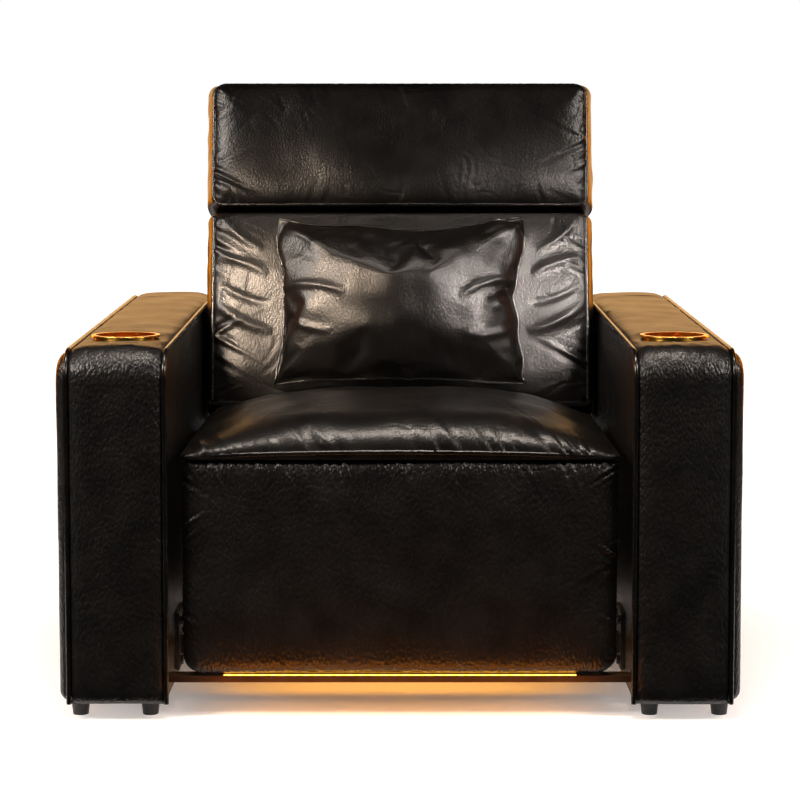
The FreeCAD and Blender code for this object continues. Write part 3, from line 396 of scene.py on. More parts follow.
# %% Moulded plastics
def moulded(name, code, rough, grain_mm, depth):
    """Injection-moulded plastic: the spark-eroded mould leaves an even, fine grain."""
    finish, tree, shader = new_finish(name, Base_Color=colour(code), IOR=1.5)
    where = in_millimetres(tree)
    grain = add(tree, "ShaderNodeTexNoise", None, Vector=where, Scale=1.0 / grain_mm, Detail=2.0, Roughness=0.7)
    tree.links.new(ranged(tree, grain.outputs["Fac"], 0.3, 0.7, rough - 0.06, rough + 0.06), shader.inputs["Roughness"])
    bump = add(tree, "ShaderNodeBump", None, Strength=0.8, Distance=depth * 0.001, Height=grain.outputs["Fac"])
    tree.links.new(bump.outputs["Normal"], shader.inputs["Normal"])
    return finish


glide_plastic = moulded("polypropylene_glides", "#121211", 0.42, 1.0, 0.06)
housing_plastic = moulded("abs_housings", "#161617", 0.46, 0.9, 0.07)
key_plastic = moulded("abs_keys", "#3b3c3e", 0.4, 0.9, 0.05)
print("plastics", glide_plastic.name, housing_plastic.name, key_plastic.name)

# %% Plywood, webbing and the light diffuser
poplar_plywood, tree, shader = new_finish("poplar_plywood", Roughness=0.62)
# Rotary-cut poplar: growth lines 6 to 10 mm apart wander along the sheet, with a fine fibre between them
where = in_millimetres(tree, stretch=(1.0, 0.08, 1.0))
growth = add(tree, "ShaderNodeTexNoise", None, Vector=where, Scale=1.0 / 9.0, Detail=4.0, Roughness=0.55)
fibre = add(tree, "ShaderNodeTexNoise", None, Vector=where, Scale=1.0 / 1.2, Detail=2.0)
wood = add(tree, "ShaderNodeMix", {"data_type": "RGBA"}, i0=ranged(tree, growth.outputs["Fac"], 0.35, 0.65, 0.0, 1.0),
           i6=colour("#b98f5c"), i7=colour("#d9bb8a"))
tree.links.new(wood.outputs[2], shader.inputs["Base Color"])
bump = add(tree, "ShaderNodeBump", None, Strength=0.5, Distance=0.0001, Height=fibre.outputs["Fac"])
tree.links.new(bump.outputs["Normal"], shader.inputs["Normal"])

elastic_webbing, tree, shader = new_finish("elastic_webbing", Roughness=0.85)
# Woven polypropylene and rubber strap: ribs 3 mm apart across the strap
where = in_millimetres(tree)
ribs = add(tree, "ShaderNodeTexWave", {"wave_type": "BANDS", "bands_direction": "X"}, Vector=where, Scale=0.105,
           Distortion=0.6, Detail=2.0)
weave = add(tree, "ShaderNodeMix", {"data_type": "RGBA"}, i0=ribs.outputs["Fac"], i6=colour("#15130f"),
            i7=colour("#4a4136"))
tree.links.new(weave.outputs[2], shader.inputs["Base Color"])
bump = add(tree, "ShaderNodeBump", None, Strength=0.7, Distance=0.0005, Height=ribs.outputs["Fac"])
tree.links.new(bump.outputs["Normal"], shader.inputs["Normal"])

lit_acrylic, tree, shader = new_finish("lit_acrylic_diffuser", Roughness=0.4, Emission_Strength=9.0)
# Extruded opal acrylic over warm diodes 17 mm apart: a little brighter over each diode
where = in_millimetres(tree)
dots = add(tree, "ShaderNodeTexWave", {"wave_type": "BANDS", "bands_direction": "X"}, Vector=where, Scale=0.0185)
glow = add(tree, "ShaderNodeMix", {"data_type": "RGBA"}, i0=dots.outputs["Fac"], i6=colour("#ff9a1e"),
           i7=colour("#ffb545"))
tree.links.new(glow.outputs[2], shader.inputs["Base Color"])
tree.links.new(glow.outputs[2], shader.inputs["Emission Color"])
print("wood, webbing and light", poplar_plywood.name, elastic_webbing.name, lit_acrylic.name)

# %% Finishes onto the CAD nodes
slot_finish = {
    "leather_black": smooth_cowhide, "welt_black": welt_cowhide, "cup_brass": spun_brass,
    "glide_plastic": glide_plastic, "plywood": poplar_plywood, "frame_steel": powder_coated_steel,
    "link_steel": zinc_plated_steel, "spring_steel": spring_steel, "webbing": elastic_webbing,
    "rail_brown": rail_paint, "light_amber": lit_acrylic, "housing_plastic": housing_plastic,
    "rod_steel": ground_steel, "key_plastic": key_plastic,
}
for part in frame["record"]["subparts"]:
    node = frame["nodes"][part["node"]]
    if not node.material_slots:
        node.data.materials.append(slot_finish[part["material_slot"]])
    for place in node.material_slots:
        place.material = slot_finish[part["material_slot"]]


def dress(piece, finish, slot, body, *nodes):
    """Give a made piece its finish, smooth shading, body and the CAD nodes that it stands for."""
    piece.data.materials.clear()
    piece.data.materials.append(finish)
    piece.data.shade_smooth()
    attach(piece, body)
    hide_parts(*nodes)
    print(piece.name, len(piece.data.polygons), "faces")
    return piece


def shape(piece, place):
    """Move a block's points to where place(u, v, w) puts them in millimetres, and keep its faces outwards."""
    unit = read_points(piece.data)
    write_points(piece.data, place(unit[:, 0], unit[:, 1], unit[:, 2]) * 0.001)
    bm = bmesh.new()
    bm.from_mesh(piece.data)
    if bm.calc_volume(signed=True) < 0:
        bmesh.ops.reverse_faces(bm, faces=bm.faces[:])
        bm.to_mesh(piece.data)
    bm.free()
    return piece


# %% [markdown]
# ## Arms
#
# Each arm is a plywood box in a leather cover. One long padded strip runs up its front, over its top and down its
# rear, and a side panel is sewn to it on each side, with a welt in every seam. The strip is a block bent along the
# seam's path, so its crown and its rolled edges follow the arm round both corners.

# %% The seam path of an arm
ARM_OUTLINE = [(-473.0, 26.0), (-473.0, 563.0), (473.0, 591.0), (473.0, 26.0)]
ARM_RADII = [0.0, 42.0, 62.0, 0.0]
ARM_SLOPE = 28.0 / 946.0
# Middle of an arm, half the width of its padded strip, and the cup holder's distance from the seat's middle
ARM_X = 431.0
HALF_STRIP = 71.0
CUP_Y = -326.0


def filleted(points, radii, offset=0.0, step=3.0):
    """Even points along straight runs whose corners are arcs, moved outwards by offset."""
    line = [np.array(points[0], float)]
    for i in range(1, len(points) - 1):
        corner = np.array(points[i], float)
        before = np.array(points[i - 1], float) - corner
        after = np.array(points[i + 1], float) - corner
        before /= np.linalg.norm(before)
        after /= np.linalg.norm(after)
        half = math.acos(np.clip(before @ after, -1, 1)) / 2
        cut = radii[i] / math.tan(half)
        middle = before + after
        centre = corner + middle / np.linalg.norm(middle) * radii[i] / math.sin(half)
        first, last = corner + before * cut - centre, corner + after * cut - centre
        sweep = math.atan2(first[0] * last[1] - first[1] * last[0], first @ last)
        for k in range(25):
            turn = sweep * k / 24
            line.append(centre + np.array([first[0] * math.cos(turn) - first[1] * math.sin(turn),
                                           first[0] * math.sin(turn) + first[1] * math.cos(turn)]))
    line = np.array(line + [np.array(points[-1], float)])
    run = np.concatenate([[0.0], np.cumsum(np.hypot(*np.diff(line, axis=0).T))])
    even = np.linspace(0.0, run[-1], int(run[-1] / step) + 1)
    line = np.column_stack([np.interp(even, run, line[:, 0]), np.interp(even, run, line[:, 1])])
    heading = np.gradient(line, axis=0)
    heading /= np.linalg.norm(heading, axis=1)[:, None]
    outwards = np.column_stack([-heading[:, 1], heading[:, 0]])
    return line + outwards * offset, outwards, even


seam, seam_out, seam_run = filleted(ARM_OUTLINE, ARM_RADII)
print("seam length %.0f mm" % seam_run[-1])

# %% Padded strip of an arm
def arm_strip(side, name, node, seed):
    piece = to_object(block(300, 30, 1), name)

    def place(u, v, w):
        run = (u + 1) / 2 * seam_run[-1]
        across = spread(v, 0.86)
        away = (1.0 - np.abs(across)) * HALF_STRIP
        ends = round_off(np.minimum(run, seam_run[-1] - run), 24.0)
        crown = (9.0 * round_off(away, 26.0) + 3.0 * (1.0 - across ** 2)) * ends
        height = np.where(w > 0, crown - 1.5, np.where(w < 0, -9.0, -5.0))
        y = np.interp(run, seam_run, seam[:, 0]) + np.interp(run, seam_run, seam_out[:, 0]) * height
        z = np.interp(run, seam_run, seam[:, 1]) + np.interp(run, seam_run, seam_out[:, 1]) * height
        return np.column_stack([side * (ARM_X + HALF_STRIP * across), y, z])

    run = (read_points(piece.data)[:, 0] + 1) / 2 * seam_run[-1]
    across = spread(read_points(piece.data)[:, 1], 0.86)
    top = read_points(piece.data)[:, 2] > 0
    shape(piece, place)
    points = read_points(piece.data) * 1000.0
    away = (1.0 - np.abs(across)) * HALF_STRIP
    rise = 0.8 * ripples(points, 95.0, seed)
    rise += 1.0 * gathers(run + 900.0 * np.sign(across), away, 11.0, 17.0, seed + 1)
    rise += 0.55 * ripples(np.column_stack([run * 0.55 + across * 22.0, across * HALF_STRIP]), 17.0, seed + 2) \
        * np.exp(-((run - 560.0) / 46.0) ** 2)
    rise -= 0.5 * creases(points, 42.0, seed + 3) * np.clip(ripples(points, 130.0, seed + 4) + 0.2, 0.0, 1.0)
    # Sewn cross seam near the rear of the top
    rise -= 2.6 * np.exp(-((run - 1330.0 - 4.0 * across) / 2.6) ** 2)
    rise += 1.3 * np.exp(-((run - 1330.0 - 4.0 * across) / 14.0) ** 2)
    # The hide dips round the cup's ring, which presses on it
    cup = np.hypot(points[:, 0] - side * ARM_X, points[:, 1] - CUP_Y)
    rise -= 3.4 * np.exp(-(np.clip(cup - 52.0, 0.0, None) / 13.0) ** 2)
    edge = np.clip(away / 7.0, 0.0, 1.0)
    push(piece, np.where(top, rise * edge, 0.0))
    hole = bmesh.new()
    bmesh.ops.create_cone(hole, cap_ends=True, segments=96, radius1=0.0508, radius2=0.0508, depth=0.12,
                          matrix=Matrix.Translation((side * 0.431, -0.326, 0.56)))
    cut_away(piece, hole, name + "_cutter")
    dress(piece, pebbled_cowhide, "leather_black", "base", node)
    return piece


arm_strip(1, "arm_strip_right", "arm_pad_right", 11)
arm_strip(-1, "arm_strip_left", "arm_pad_left", 23)

# %% [markdown]
# The side panels follow the same outline. The outer one is padded and rounds over towards its seam. The inner one,
# next to the sitter, is a flat panel with a thin fleece under the hide.

# %% Side panels of an arm
def arm_side(side, name, seed, inner):
    piece = to_object(block(120, 74, 1), name)

    def place(u, v, w):
        radius = np.where(v > 0, np.where(u < 0, 41.0, 61.0), 16.0)
        y, height, away = rounded_outline(spread(u, 0.9), spread(v, 0.9), 471.3, 275.0, radius)
        top = 561.6 + (y + 473.0) * ARM_SLOPE
        z = 27.0 + (height + 275.0) / 550.0 * (top - 27.0)
        if inner:
            face = 359.6 - 3.0 * round_off(away, 9.0) - 1.4 * round_off(away, 120.0)
            rear = 363.6
        else:
            face = 504.6 + 16.0 * round_off(away, 19.0) + 3.4 * round_off(away, 170.0)
            rear = 501.0
        x = np.where(w > 0, face, np.where(w < 0, rear, (face + rear) / 2 if inner else rear + 1.5))
        return np.column_stack([side * x, y, z])

    unit = read_points(piece.data)
    radius = np.where(unit[:, 1] > 0, np.where(unit[:, 0] < 0, 41.0, 61.0), 16.0)
    y, height, away = rounded_outline(spread(unit[:, 0], 0.9), spread(unit[:, 1], 0.9), 471.3, 275.0, radius)
    shape(piece, place)
    points = read_points(piece.data) * 1000.0
    along = np.where(471.3 - np.abs(y) < 275.0 - np.abs(height), height, y)
    rise = 0.5 * ripples(points, 140.0, seed) + 0.5 * gathers(along, away, 12.0, 16.0, seed + 1)
    rise -= 0.35 * creases(points, 60.0, seed + 2) * np.clip(ripples(points, 160.0, seed + 3), 0.0, 1.0)
    push(piece, np.where(unit[:, 2] > 0, rise * np.clip(away / 8.0, 0.0, 1.0) * (0.5 if inner else 1.0), 0.0))
    return piece


for side, word in ((1, "right"), (-1, "left")):
    outer = arm_side(side, "arm_outer_side_" + word, 31 + side, False)
    if side > 0:
        # The switch panel sits in an opening in the right arm's outer side
        opening = bmesh.new()
        bmesh.ops.create_cube(opening, size=1.0, matrix=Matrix.Translation((0.518, -0.248, 0.468))
                              @ Matrix.Diagonal((0.05, 0.1044, 0.0324, 1.0)))
        cut_away(outer, opening, "switch_opening_cutter")
    dress(outer, pebbled_cowhide, "leather_black", "base", "arm_panel_outer_" + word)
    inside = arm_side(side, "arm_inner_side_" + word, 41 + side, True)
    dress(inside, pebbled_cowhide, "leather_black", "base", "arm_panel_inner_" + word)

# %% [markdown]
# A welt is a cord wrapped in a narrow strip of hide and sewn into a seam. Here it is a curve with a round bevel,
# turned into a mesh, and its surface is drawn in a little where the stitches hold it.

# %% Welts
def welt(name, path, body, node, closed=False, radius=4.0, seed=1, finish=None):
    """Round welt along a path of points in millimetres."""
    curve = bpy.data.curves.new(name + "_path", "CURVE")
    curve.dimensions = "3D"
    curve.bevel_depth = radius * 0.001
    curve.bevel_resolution = 3
    curve.use_fill_caps = not closed
    spline = curve.splines.new("POLY")
    spline.points.add(len(path) - 1)
    spline.points.foreach_set("co", np.column_stack([path * 0.001, np.ones(len(path))]).ravel())
    spline.use_cyclic_u = closed
    guide = bpy.data.objects.new(name + "_path", curve)
    bpy.context.scene.collection.objects.link(guide)
    depsgraph = bpy.context.evaluated_depsgraph_get()
    mesh = bpy.data.meshes.new_from_object(guide.evaluated_get(depsgraph))
    bpy.data.objects.remove(guide)
    bpy.data.curves.remove(curve)
    bm = bmesh.new()
    bm.from_mesh(mesh)
    bpy.data.meshes.remove(mesh)
    bmesh.ops.remove_doubles(bm, verts=bm.verts[:], dist=0.00005)
    piece = to_object(bm, name)
    points = read_points(piece.data) * 1000.0
    push(piece, 0.16 * ripples(points, 7.0, seed) - 0.12)
    dress(piece, finish or welt_cowhide, "welt_black", body, *([node] if node else []))
    return piece


outer_path, _, _ = filleted(ARM_OUTLINE, ARM_RADII, 1.5, 4.0)
for side, word in ((1, "right"), (-1, "left")):
    for x, place in ((505.5, "outer"), (356.5, "inner")):
        path = np.column_stack([np.full(len(outer_path), side * x), outer_path])
        welt("arm_welt_%s_%s" % (place, word), path, "base", "arm_piping_%s_%s" % (place, word), seed=int(x) + side)

# %% [markdown]
# ## Seat cushion
#
# The seat's hide is one panel pulled over a crowned foam block and down its front to a welted seam. It is highest a
# third of the way back, falls away to both sides, and puckers where it is pulled down to the seam.

# %% Seat cushion
SEAT_X = 337.0


def seat_place(u, v, w):
    radius = np.where(v < 0, 18.0, 26.0)
    x, depth, away = rounded_outline(spread(u, 0.86), spread(v, 0.86), SEAT_X, 277.0, radius)
    y = depth - 178.0
    front, rear = y + 455.0, 99.0 - y
    seam_z = 411.0 - 8.0 * (x / SEAT_X) ** 2
    side_fall = 1.0 - 0.94 * np.abs(x / SEAT_X) ** 3.6
    crest = np.clip(front / 325.0, 0.0, 1.0)
    rise = round_off(front, 88.0) * (0.86 + 0.14 * crest * (2.0 - crest))
    rise *= 1.0 - 0.40 * np.clip((y + 130.0) / 229.0, 0.0, 1.0) ** 1.6
    rise *= 0.62 + 0.38 * round_off(rear, 34.0)
    side_edge = round_off(SEAT_X - np.abs(x), 26.0)
    lift = 61.0 * rise * side_fall * (0.25 + 0.75 * side_edge)
    m = (w + 1) / 2
    z = 399.6 + (seam_z - 399.6 + np.where(away > 0.01, lift, lift * 0.9)) * m
    return np.column_stack([x, y, z])


seat = to_object(block(104, 88, 5), "seat_top")
shape(seat, seat_place)
refine(seat)
points = read_points(seat.data) * 1000.0
top = np.clip((points[:, 2] - 403.0) / 10.0, 0.0, 1.0)
front, sides = points[:, 1] + 455.0, SEAT_X - np.abs(points[:, 0])
height = points[:, 2] - 405.0
rise = 2.1 * ripples(points * [1.0, 1.0, 0.3], 130.0, 51)
from_seam = height * 0.9 + front * 0.35
rise += 3.0 * gathers(points[:, 0] + 0.5 * from_seam, from_seam, 15.0, 20.0, 52, 0.1)
rise += 2.4 * gathers(points[:, 0] + 0.7 * from_seam + 400.0, from_seam * 0.7, 38.0, 40.0, 53, 0.1)
rise += 1.5 * gathers(points[:, 1], sides, 21.0, 24.0, 54)
rise -= 0.7 * creases(points[:, :2], 46.0, 55, 7.0) * np.clip(ripples(points[:, :2], 150.0, 56) + 0.1, 0.0, 1.0)
push(seat, rise * top)
dress(seat, smooth_cowhide, "leather_black", "base", "seat_cushion")

across = np.linspace(-1.0, 1.0, 141)
seat_welt = np.column_stack([across * 330.0, -455.2 + 5.0 * across ** 2, 411.0 - 8.0 * across ** 2])
welt("seat_front_welt", seat_welt, "base", "seat_piping", seed=61)

# %% [markdown]
# ## Footrest panel
#
# Closed, the footrest hangs under the seat as its front panel: pebbled hide over thin foam on a board, with rounded
# lower corners and puckers where the hide is turned over the board's sides.

# %% Footrest panel
def footrest_place(u, v, w):
    radius = np.where(v < 0, 30.0, 12.0)
    x, height, away = rounded_outline(spread(u, 0.88), spread(v, 0.88), 333.0, 164.5, radius)
    m = (w + 1) / 2
    y = -400.5 - 42.0 * m - m * (9.0 * round_off(away, 24.0) + 4.0 * round_off(away, 150.0))
    widen = 1.0 + 0.004 * np.sin(math.pi * m)
    return np.column_stack([x * widen, y, 232.0 + height])


panel = to_object(block(112, 62, 4), "footrest_pad")
shape(panel, footrest_place)
refine(panel)
points = read_points(panel.data) * 1000.0
front = np.clip((-points[:, 1] - 436.0) / 6.0, 0.0, 1.0)
sides, below, above = 334.0 - np.abs(points[:, 0]), points[:, 2] - 67.0, 397.0 - points[:, 2]
rise = 1.3 * ripples(points * [1.0, 0.2, 1.0], 150.0, 71)
rise += 2.0 * gathers(points[:, 2] + 500.0 * np.sign(points[:, 0]), sides, 15.0, 26.0, 72, 0.6)
rise += 2.3 * gathers(points[:, 0] - 0.5 * above, above, 17.0, 36.0, 73, 0.1)
rise += 0.7 * gathers(points[:, 0], below, 22.0, 20.0, 74)
rise -= 0.6 * creases(points[:, [0, 2]], 44.0, 75, 7.0) * np.clip(ripples(points[:, [0, 2]], 170.0, 76), 0.0, 1.0)
push(panel, rise * front)
dress(panel, pebbled_cowhide, "leather_black", "footrest_panel", "footrest_cushion")

hem, _, _ = filleted([(-329.5, 392.0), (-329.5, 71.0), (329.5, 71.0), (329.5, 392.0)], [0.0, 28.0, 28.0, 0.0], 0.0, 4.0)
hem = np.column_stack([hem[:, 0], np.full(len(hem), -443.5), hem[:, 1]])
welt("footrest_welt", hem, "footrest_panel", None, radius=3.4, seed=77)

# %% [markdown]
# ## Back and headrest
#
# Both are boxed cushions: a crowned front panel, welted to gussets that swell out at the sides. They are shaped
# upright in the back's own directions and then leaned. The back's lower end goes behind the seat cushion.

# %% A leaning boxed cushion
def boxed_leaning(name, half_x, u_low, u_high, n_seam, n_rear, crown, crown_reach, bulges, rear_round, corner, counts):
    """Boxed cushion in the leaning back, and for each of its points the values that the folds follow."""
    piece = to_object(block(*counts), name)

    def local(u, v, w):
        m = (w + 1) / 2
        middle, half_u = (u_low + u_high) / 2, (u_high - u_low) / 2
        x, up, away = rounded_outline(spread(u, 0.86), spread(v, 0.86), half_x, half_u, corner)
        x = x * (half_x + swell(m, bulges[0], rear_round)) / half_x
        up = up * (half_u + swell(m, bulges[1], rear_round)) / half_u
        n = n_seam(up / half_u) * (1 - m) + n_rear * m
        n = n - (1 - m) * crown * (0.75 * round_off(away, crown_reach) + 0.25 * round_off(away, crown_reach * 2.6))
        return x, n, middle + up

    shape(piece, lambda u, v, w: leaning(*local(u, v, w)))
    refine(piece)
    points = read_points(piece.data) * 1000.0
    y, z = points[:, 1] - BACK_ORIGIN[0], points[:, 2] - BACK_ORIGIN[1]
    n = y * math.cos(LEAN) - z * math.sin(LEAN)
    up = y * math.sin(LEAN) + z * math.cos(LEAN)
    return piece, points[:, 0], n, up


# %% Back cushion
back, x, n, up = boxed_leaning("back_pad", 335.0, -169.0, 175.5, lambda v: 10.0 + 8.0 * v ** 2, 118.0, 13.0, 60.0,
                               (14.5, 0.5), 12.0, 14.0, (104, 62, 12))
front = np.clip((16.0 - n) / 8.0, 0.0, 1.0)
sides, above = 335.0 - np.abs(x), 175.5 - up
flat = np.column_stack([x, up])
rise = 1.8 * ripples(np.column_stack([x, n * 0.3, up]), 140.0, 81)
rise += 2.3 * gathers(up + 600.0 * np.sign(x), np.clip(sides, 0.0, None), 21.0, 30.0, 82, 0.55)
rise += 1.2 * gathers(x, np.clip(above, 0.0, None), 20.0, 22.0, 83)
for side in (-1, 1):
    # Pulls from the corners where the hide meets the arm, and slack folds beside the pillow
    rise += 4.0 * fold(flat, (side * 334.0, 10.0), (side * 228.0, -44.0), 9.0, side * 8.0)
    rise += 3.2 * fold(flat, (side * 330.0, 92.0), (side * 236.0, 60.0), 8.0, -side * 6.0)
    rise += 3.0 * fold(flat, (side * 322.0, 168.0), (side * 246.0, 104.0), 8.0, side * 7.0)
    rise -= 2.6 * fold(flat, (side * 326.0, 44.0), (side * 232.0, 6.0), 7.0, side * 6.0)
rise -= 0.8 * creases(flat, 62.0, 84, 7.0) * np.clip(ripples(flat, 170.0, 85) + 0.15, 0.0, 1.0)
gusset = np.clip((n - 14.0) / 12.0, 0.0, 1.0) * np.clip((112.0 - n) / 20.0, 0.0, 1.0)
push(back, np.where(n < 17.0, rise * front, 0.6 * gusset * ripples(np.column_stack([x, n, up]), 40.0, 86)))
dress(back, smooth_cowhide, "leather_black", "backrest", "back_cushion")

rise_u = np.linspace(-166.0, 168.0, 90)
for side, word in ((1, "right"), (-1, "left")):
    path = leaning(np.full(90, side * 335.5), 9.5 + 8.5 * (rise_u / 168.0) ** 2, rise_u)
    welt("back_welt_" + word, path, "backrest", "back_piping_" + word, seed=91 + side)

# %% Headrest
head, x, n, up = boxed_leaning("headrest_pad", 337.0, 188.5, 409.0, lambda v: np.full_like(v, 9.0), 189.0, 16.0, 56.0,
                               (16.0, 10.0), 30.0, 18.0, (104, 44, 24))
front = np.clip((9.0 - n) / 6.0, 0.0, 1.0)
sides, ends = 337.0 - np.abs(x), np.minimum(up - 188.5, 409.0 - up)
flat = np.column_stack([x, up])
rise = 1.6 * ripples(np.column_stack([x, n * 0.3, up]), 130.0, 101)
rise += 2.2 * gathers(up + 600.0 * np.sign(x), np.clip(sides, 0.0, None), 19.0, 30.0, 102, 0.5)
rise += 1.6 * gathers(x, np.clip(ends, 0.0, None), 17.0, 24.0, 103, 0.4)
rise -= 0.8 * creases(flat, 55.0, 104, 7.0) * np.clip(ripples(flat, 150.0, 105) + 0.1, 0.0, 1.0)
gusset = np.clip((n - 12.0) / 12.0, 0.0, 1.0)
push(head, np.where(n < 9.0, rise * front, 0.8 * gusset * ripples(np.column_stack([x, n, up]), 45.0, 106)))
dress(head, smooth_cowhide, "leather_black", "headrest", "headrest_cushion")

loop, _, _ = filleted([(0.0, 188.5), (-337.0, 188.5), (-337.0, 409.0), (337.0, 409.0), (337.0, 188.5), (0.0, 188.5)],
                      [0.0, 16.0, 22.0, 22.0, 16.0, 0.0], 0.0, 4.0)
loop = loop[:-1]
welt("headrest_welt", leaning(loop[:, 0], np.full(len(loop), 9.0), loop[:, 1]), "headrest", "headrest_piping",
     closed=True, seed=111)

# %% [markdown]
# ## Rear of the back
#
# Behind the frame hangs a leather shell, a stretched cover over a thin formed pan. It is open towards the frame, so
# it is a block whose front is taken off and whose wall then gets a thickness.

# %% Rear shell and rear cover
def shell_local(u, v, w):
    m = (w + 1) / 2
    x, up, away = rounded_outline(spread(u, 0.88), spread(v, 0.88), 345.5, 182.5, 20.0)
    inwards = 24.0 * (1.0 - np.sqrt(1.0 - 0.98 * np.clip((m - 0.66) / 0.34, 0.0, 1.0) ** 2))
    x, up = x * (345.5 - inwards) / 345.5, up * (182.5 - inwards) / 182.5
    n = 119.5 + 73.0 * m + m * 4.0 * round_off(away, 120.0)
    return x, n, up - 7.0


shell_block = block(90, 50, 8)
front_faces = [f for f in shell_block.faces if all(v.co.z < -0.99 for v in f.verts)]
bmesh.ops.delete(shell_block, geom=front_faces, context="FACES")
shell = to_object(shell_block, "rear_shell")
unit = read_points(shell.data)
x, n, up = shell_local(unit[:, 0], unit[:, 1], unit[:, 2])
write_points(shell.data, leaning(x, n, up) * 0.001)
wall = shell.modifiers.new("wall", "SOLIDIFY")
wall.thickness = 0.006
wall.offset = -1.0
apply_modifiers(shell)
points = read_points(shell.data) * 1000.0
seam_dip = 1.2 * np.exp(-((np.abs(points[:, 0]) - 300.0) / 3.0) ** 2)
push(shell, 0.5 * ripples(points, 160.0, 121) - seam_dip)
dress(shell, smooth_cowhide, "leather_black", "backrest", "back_rear_shell")


def cover_place(u, v, w):
    x, height, away = rounded_outline(spread(u, 0.9), spread(v, 0.9), 354.0, 125.6, 8.0)
    face = 446.4 + 8.0 + 4.6 * round_off(away, 9.0)
    y = np.where(w > 0, face, np.where(w < 0, 446.4, 451.0))
    return np.column_stack([x, y, 166.0 + height])


cover = shape(to_object(block(90, 34, 1), "rear_cover_pad"), cover_place)
points = read_points(cover.data) * 1000.0
push(cover, np.where(points[:, 1] > 455.0, 0.5 * ripples(points, 120.0, 131), 0.0))
inlet_hole = bmesh.new()
bmesh.ops.create_cube(inlet_hole, size=1.0, matrix=Matrix.Translation((-0.18, 0.453, 0.085))
                      @ Matrix.Diagonal((0.0412, 0.05, 0.0272, 1.0)))
cut_away(cover, inlet_hole, "inlet_cutter")
dress(cover, smooth_cowhide, "leather_black", "base", "rear_cover")

# %% [markdown]
# ## Loose pillow
#
# The lumbar pillow is two equal panels of hide sewn edge to edge and filled. Blown up in a cloth simulation, a flat
# bag like that pulls in its sides, keeps its corners out as ears and gets folds from the seam. Its edges are then made
# straighter, its depth is set and its rear flattened, because it is firmly filled and leans on the back. The largest
# folds are placed one by one.

# %% Pillow
PILLOW_HALF_WIDTH, PILLOW_HALF_HEIGHT = 223.5, 150.0
PILLOW_FRONT, PILLOW_REAR = 64.0, 20.0
pillow = to_object(block(74, 54, 1), "pillow_cover")
unit = read_points(pillow.data)
border = (np.abs(unit[:, 0]) > 0.999) | (np.abs(unit[:, 1]) > 0.999)
edge_ring = np.where(border & (np.abs(unit[:, 2]) < 0.01))[0]
edge_ring = edge_ring[np.argsort(np.arctan2(unit[edge_ring, 1], unit[edge_ring, 0]))]
bag = np.column_stack([unit[:, 0] * (238.0 + 3.0 * unit[:, 1]), unit[:, 2] * np.where(border, 1.6, 5.0),
                       unit[:, 1] * 164.0])
bag[:, 1] += 0.8 * ripples(bag, 60.0, 141)
write_points(pillow.data, bag * 0.001)
air = pillow.modifiers.new("air", "CLOTH")
air.settings.quality = 7
air.settings.mass = 0.35
air.settings.tension_stiffness = 60.0
air.settings.compression_stiffness = 60.0
air.settings.shear_stiffness = 25.0
air.settings.bending_stiffness = 1.2
air.settings.air_damping = 2.0
air.settings.use_pressure = True
air.settings.uniform_pressure_force = 5.0
air.settings.effector_weights.gravity = 0.0
air.point_cache.frame_start = 1
air.point_cache.frame_end = 40
for tick in range(1, 37):
    bpy.context.scene.frame_set(tick)
apply_modifiers(pillow)
bpy.context.scene.frame_set(1)
puffed = read_points(pillow.data) * 1000.0
print("pillow after filling", (puffed.max(0) - puffed.min(0)).round(1).tolist())
size = puffed.max(0) - puffed.min(0)
middle = (puffed.max(0) + puffed.min(0)) / 2
puffed = (puffed - middle) * [2.0 * PILLOW_HALF_WIDTH / size[0], 1.0, 2.0 * PILLOW_HALF_HEIGHT / size[2]]
# A firm filling keeps the edges straighter than air does
puffed[:, 0] = 0.7 * puffed[:, 0] + 0.3 * PILLOW_HALF_WIDTH * unit[:, 0]
puffed[:, 2] = 0.3 * puffed[:, 2] + 0.7 * PILLOW_HALF_HEIGHT * unit[:, 1]
depth = puffed[:, 1]
puffed[:, 1] = np.where(depth < 0, depth * PILLOW_FRONT / max(-depth.min(), 1.0),
                        depth * PILLOW_REAR / max(depth.max(), 1.0))
write_points(pillow.data, puffed * 0.001)
refine(pillow)
puffed = read_points(pillow.data) * 1000.0
front = puffed[:, 1] < 0
sides, ends = 224.0 - np.abs(puffed[:, 0]), 150.0 - np.abs(puffed[:, 2])
rise = 0.8 * ripples(puffed, 45.0, 142) + 0.7 * gathers(puffed[:, 2], sides, 16.0, 34.0, 143, 0.4)
rise += 0.7 * gathers(puffed[:, 0], ends, 16.0, 30.0, 144, 0.4)
face = puffed[:, [0, 2]]
pillow_folds = [
    (3.4, (-214.0, 22.0), (-96.0, 8.0), 9.0), (2.6, (-206.0, -30.0), (-120.0, -58.0), -7.0),
    (3.0, (208.0, 36.0), (104.0, 2.0), -9.0), (2.4, (200.0, -52.0), (112.0, -66.0), 7.0),
    (2.4, (-206.0, 128.0), (-120.0, 78.0), 7.0), (2.4, (208.0, 130.0), (122.0, 82.0), -7.0),
]
for depth, start, end, bend in pillow_folds:
    rise += depth * fold(face, start, end, 7.0, bend)
push(pillow, np.where(front, rise, 0.2 * rise) * np.clip(np.minimum(sides, ends) / 12.0, 0.0, 1.0))
puffed = read_points(pillow.data) * 1000.0
write_points(pillow.data, leaning(puffed[:, 0], puffed[:, 1] - 30.0, puffed[:, 2] + 5.5) * 0.001)
ring = read_points(pillow.data)[edge_ring] * 1000.0
dress(pillow, smooth_cowhide, "leather_black", "pillow", "lumbar_pillow")
welt("pillow_welt", ring, "pillow", None, closed=True, radius=2.3, seed=145)
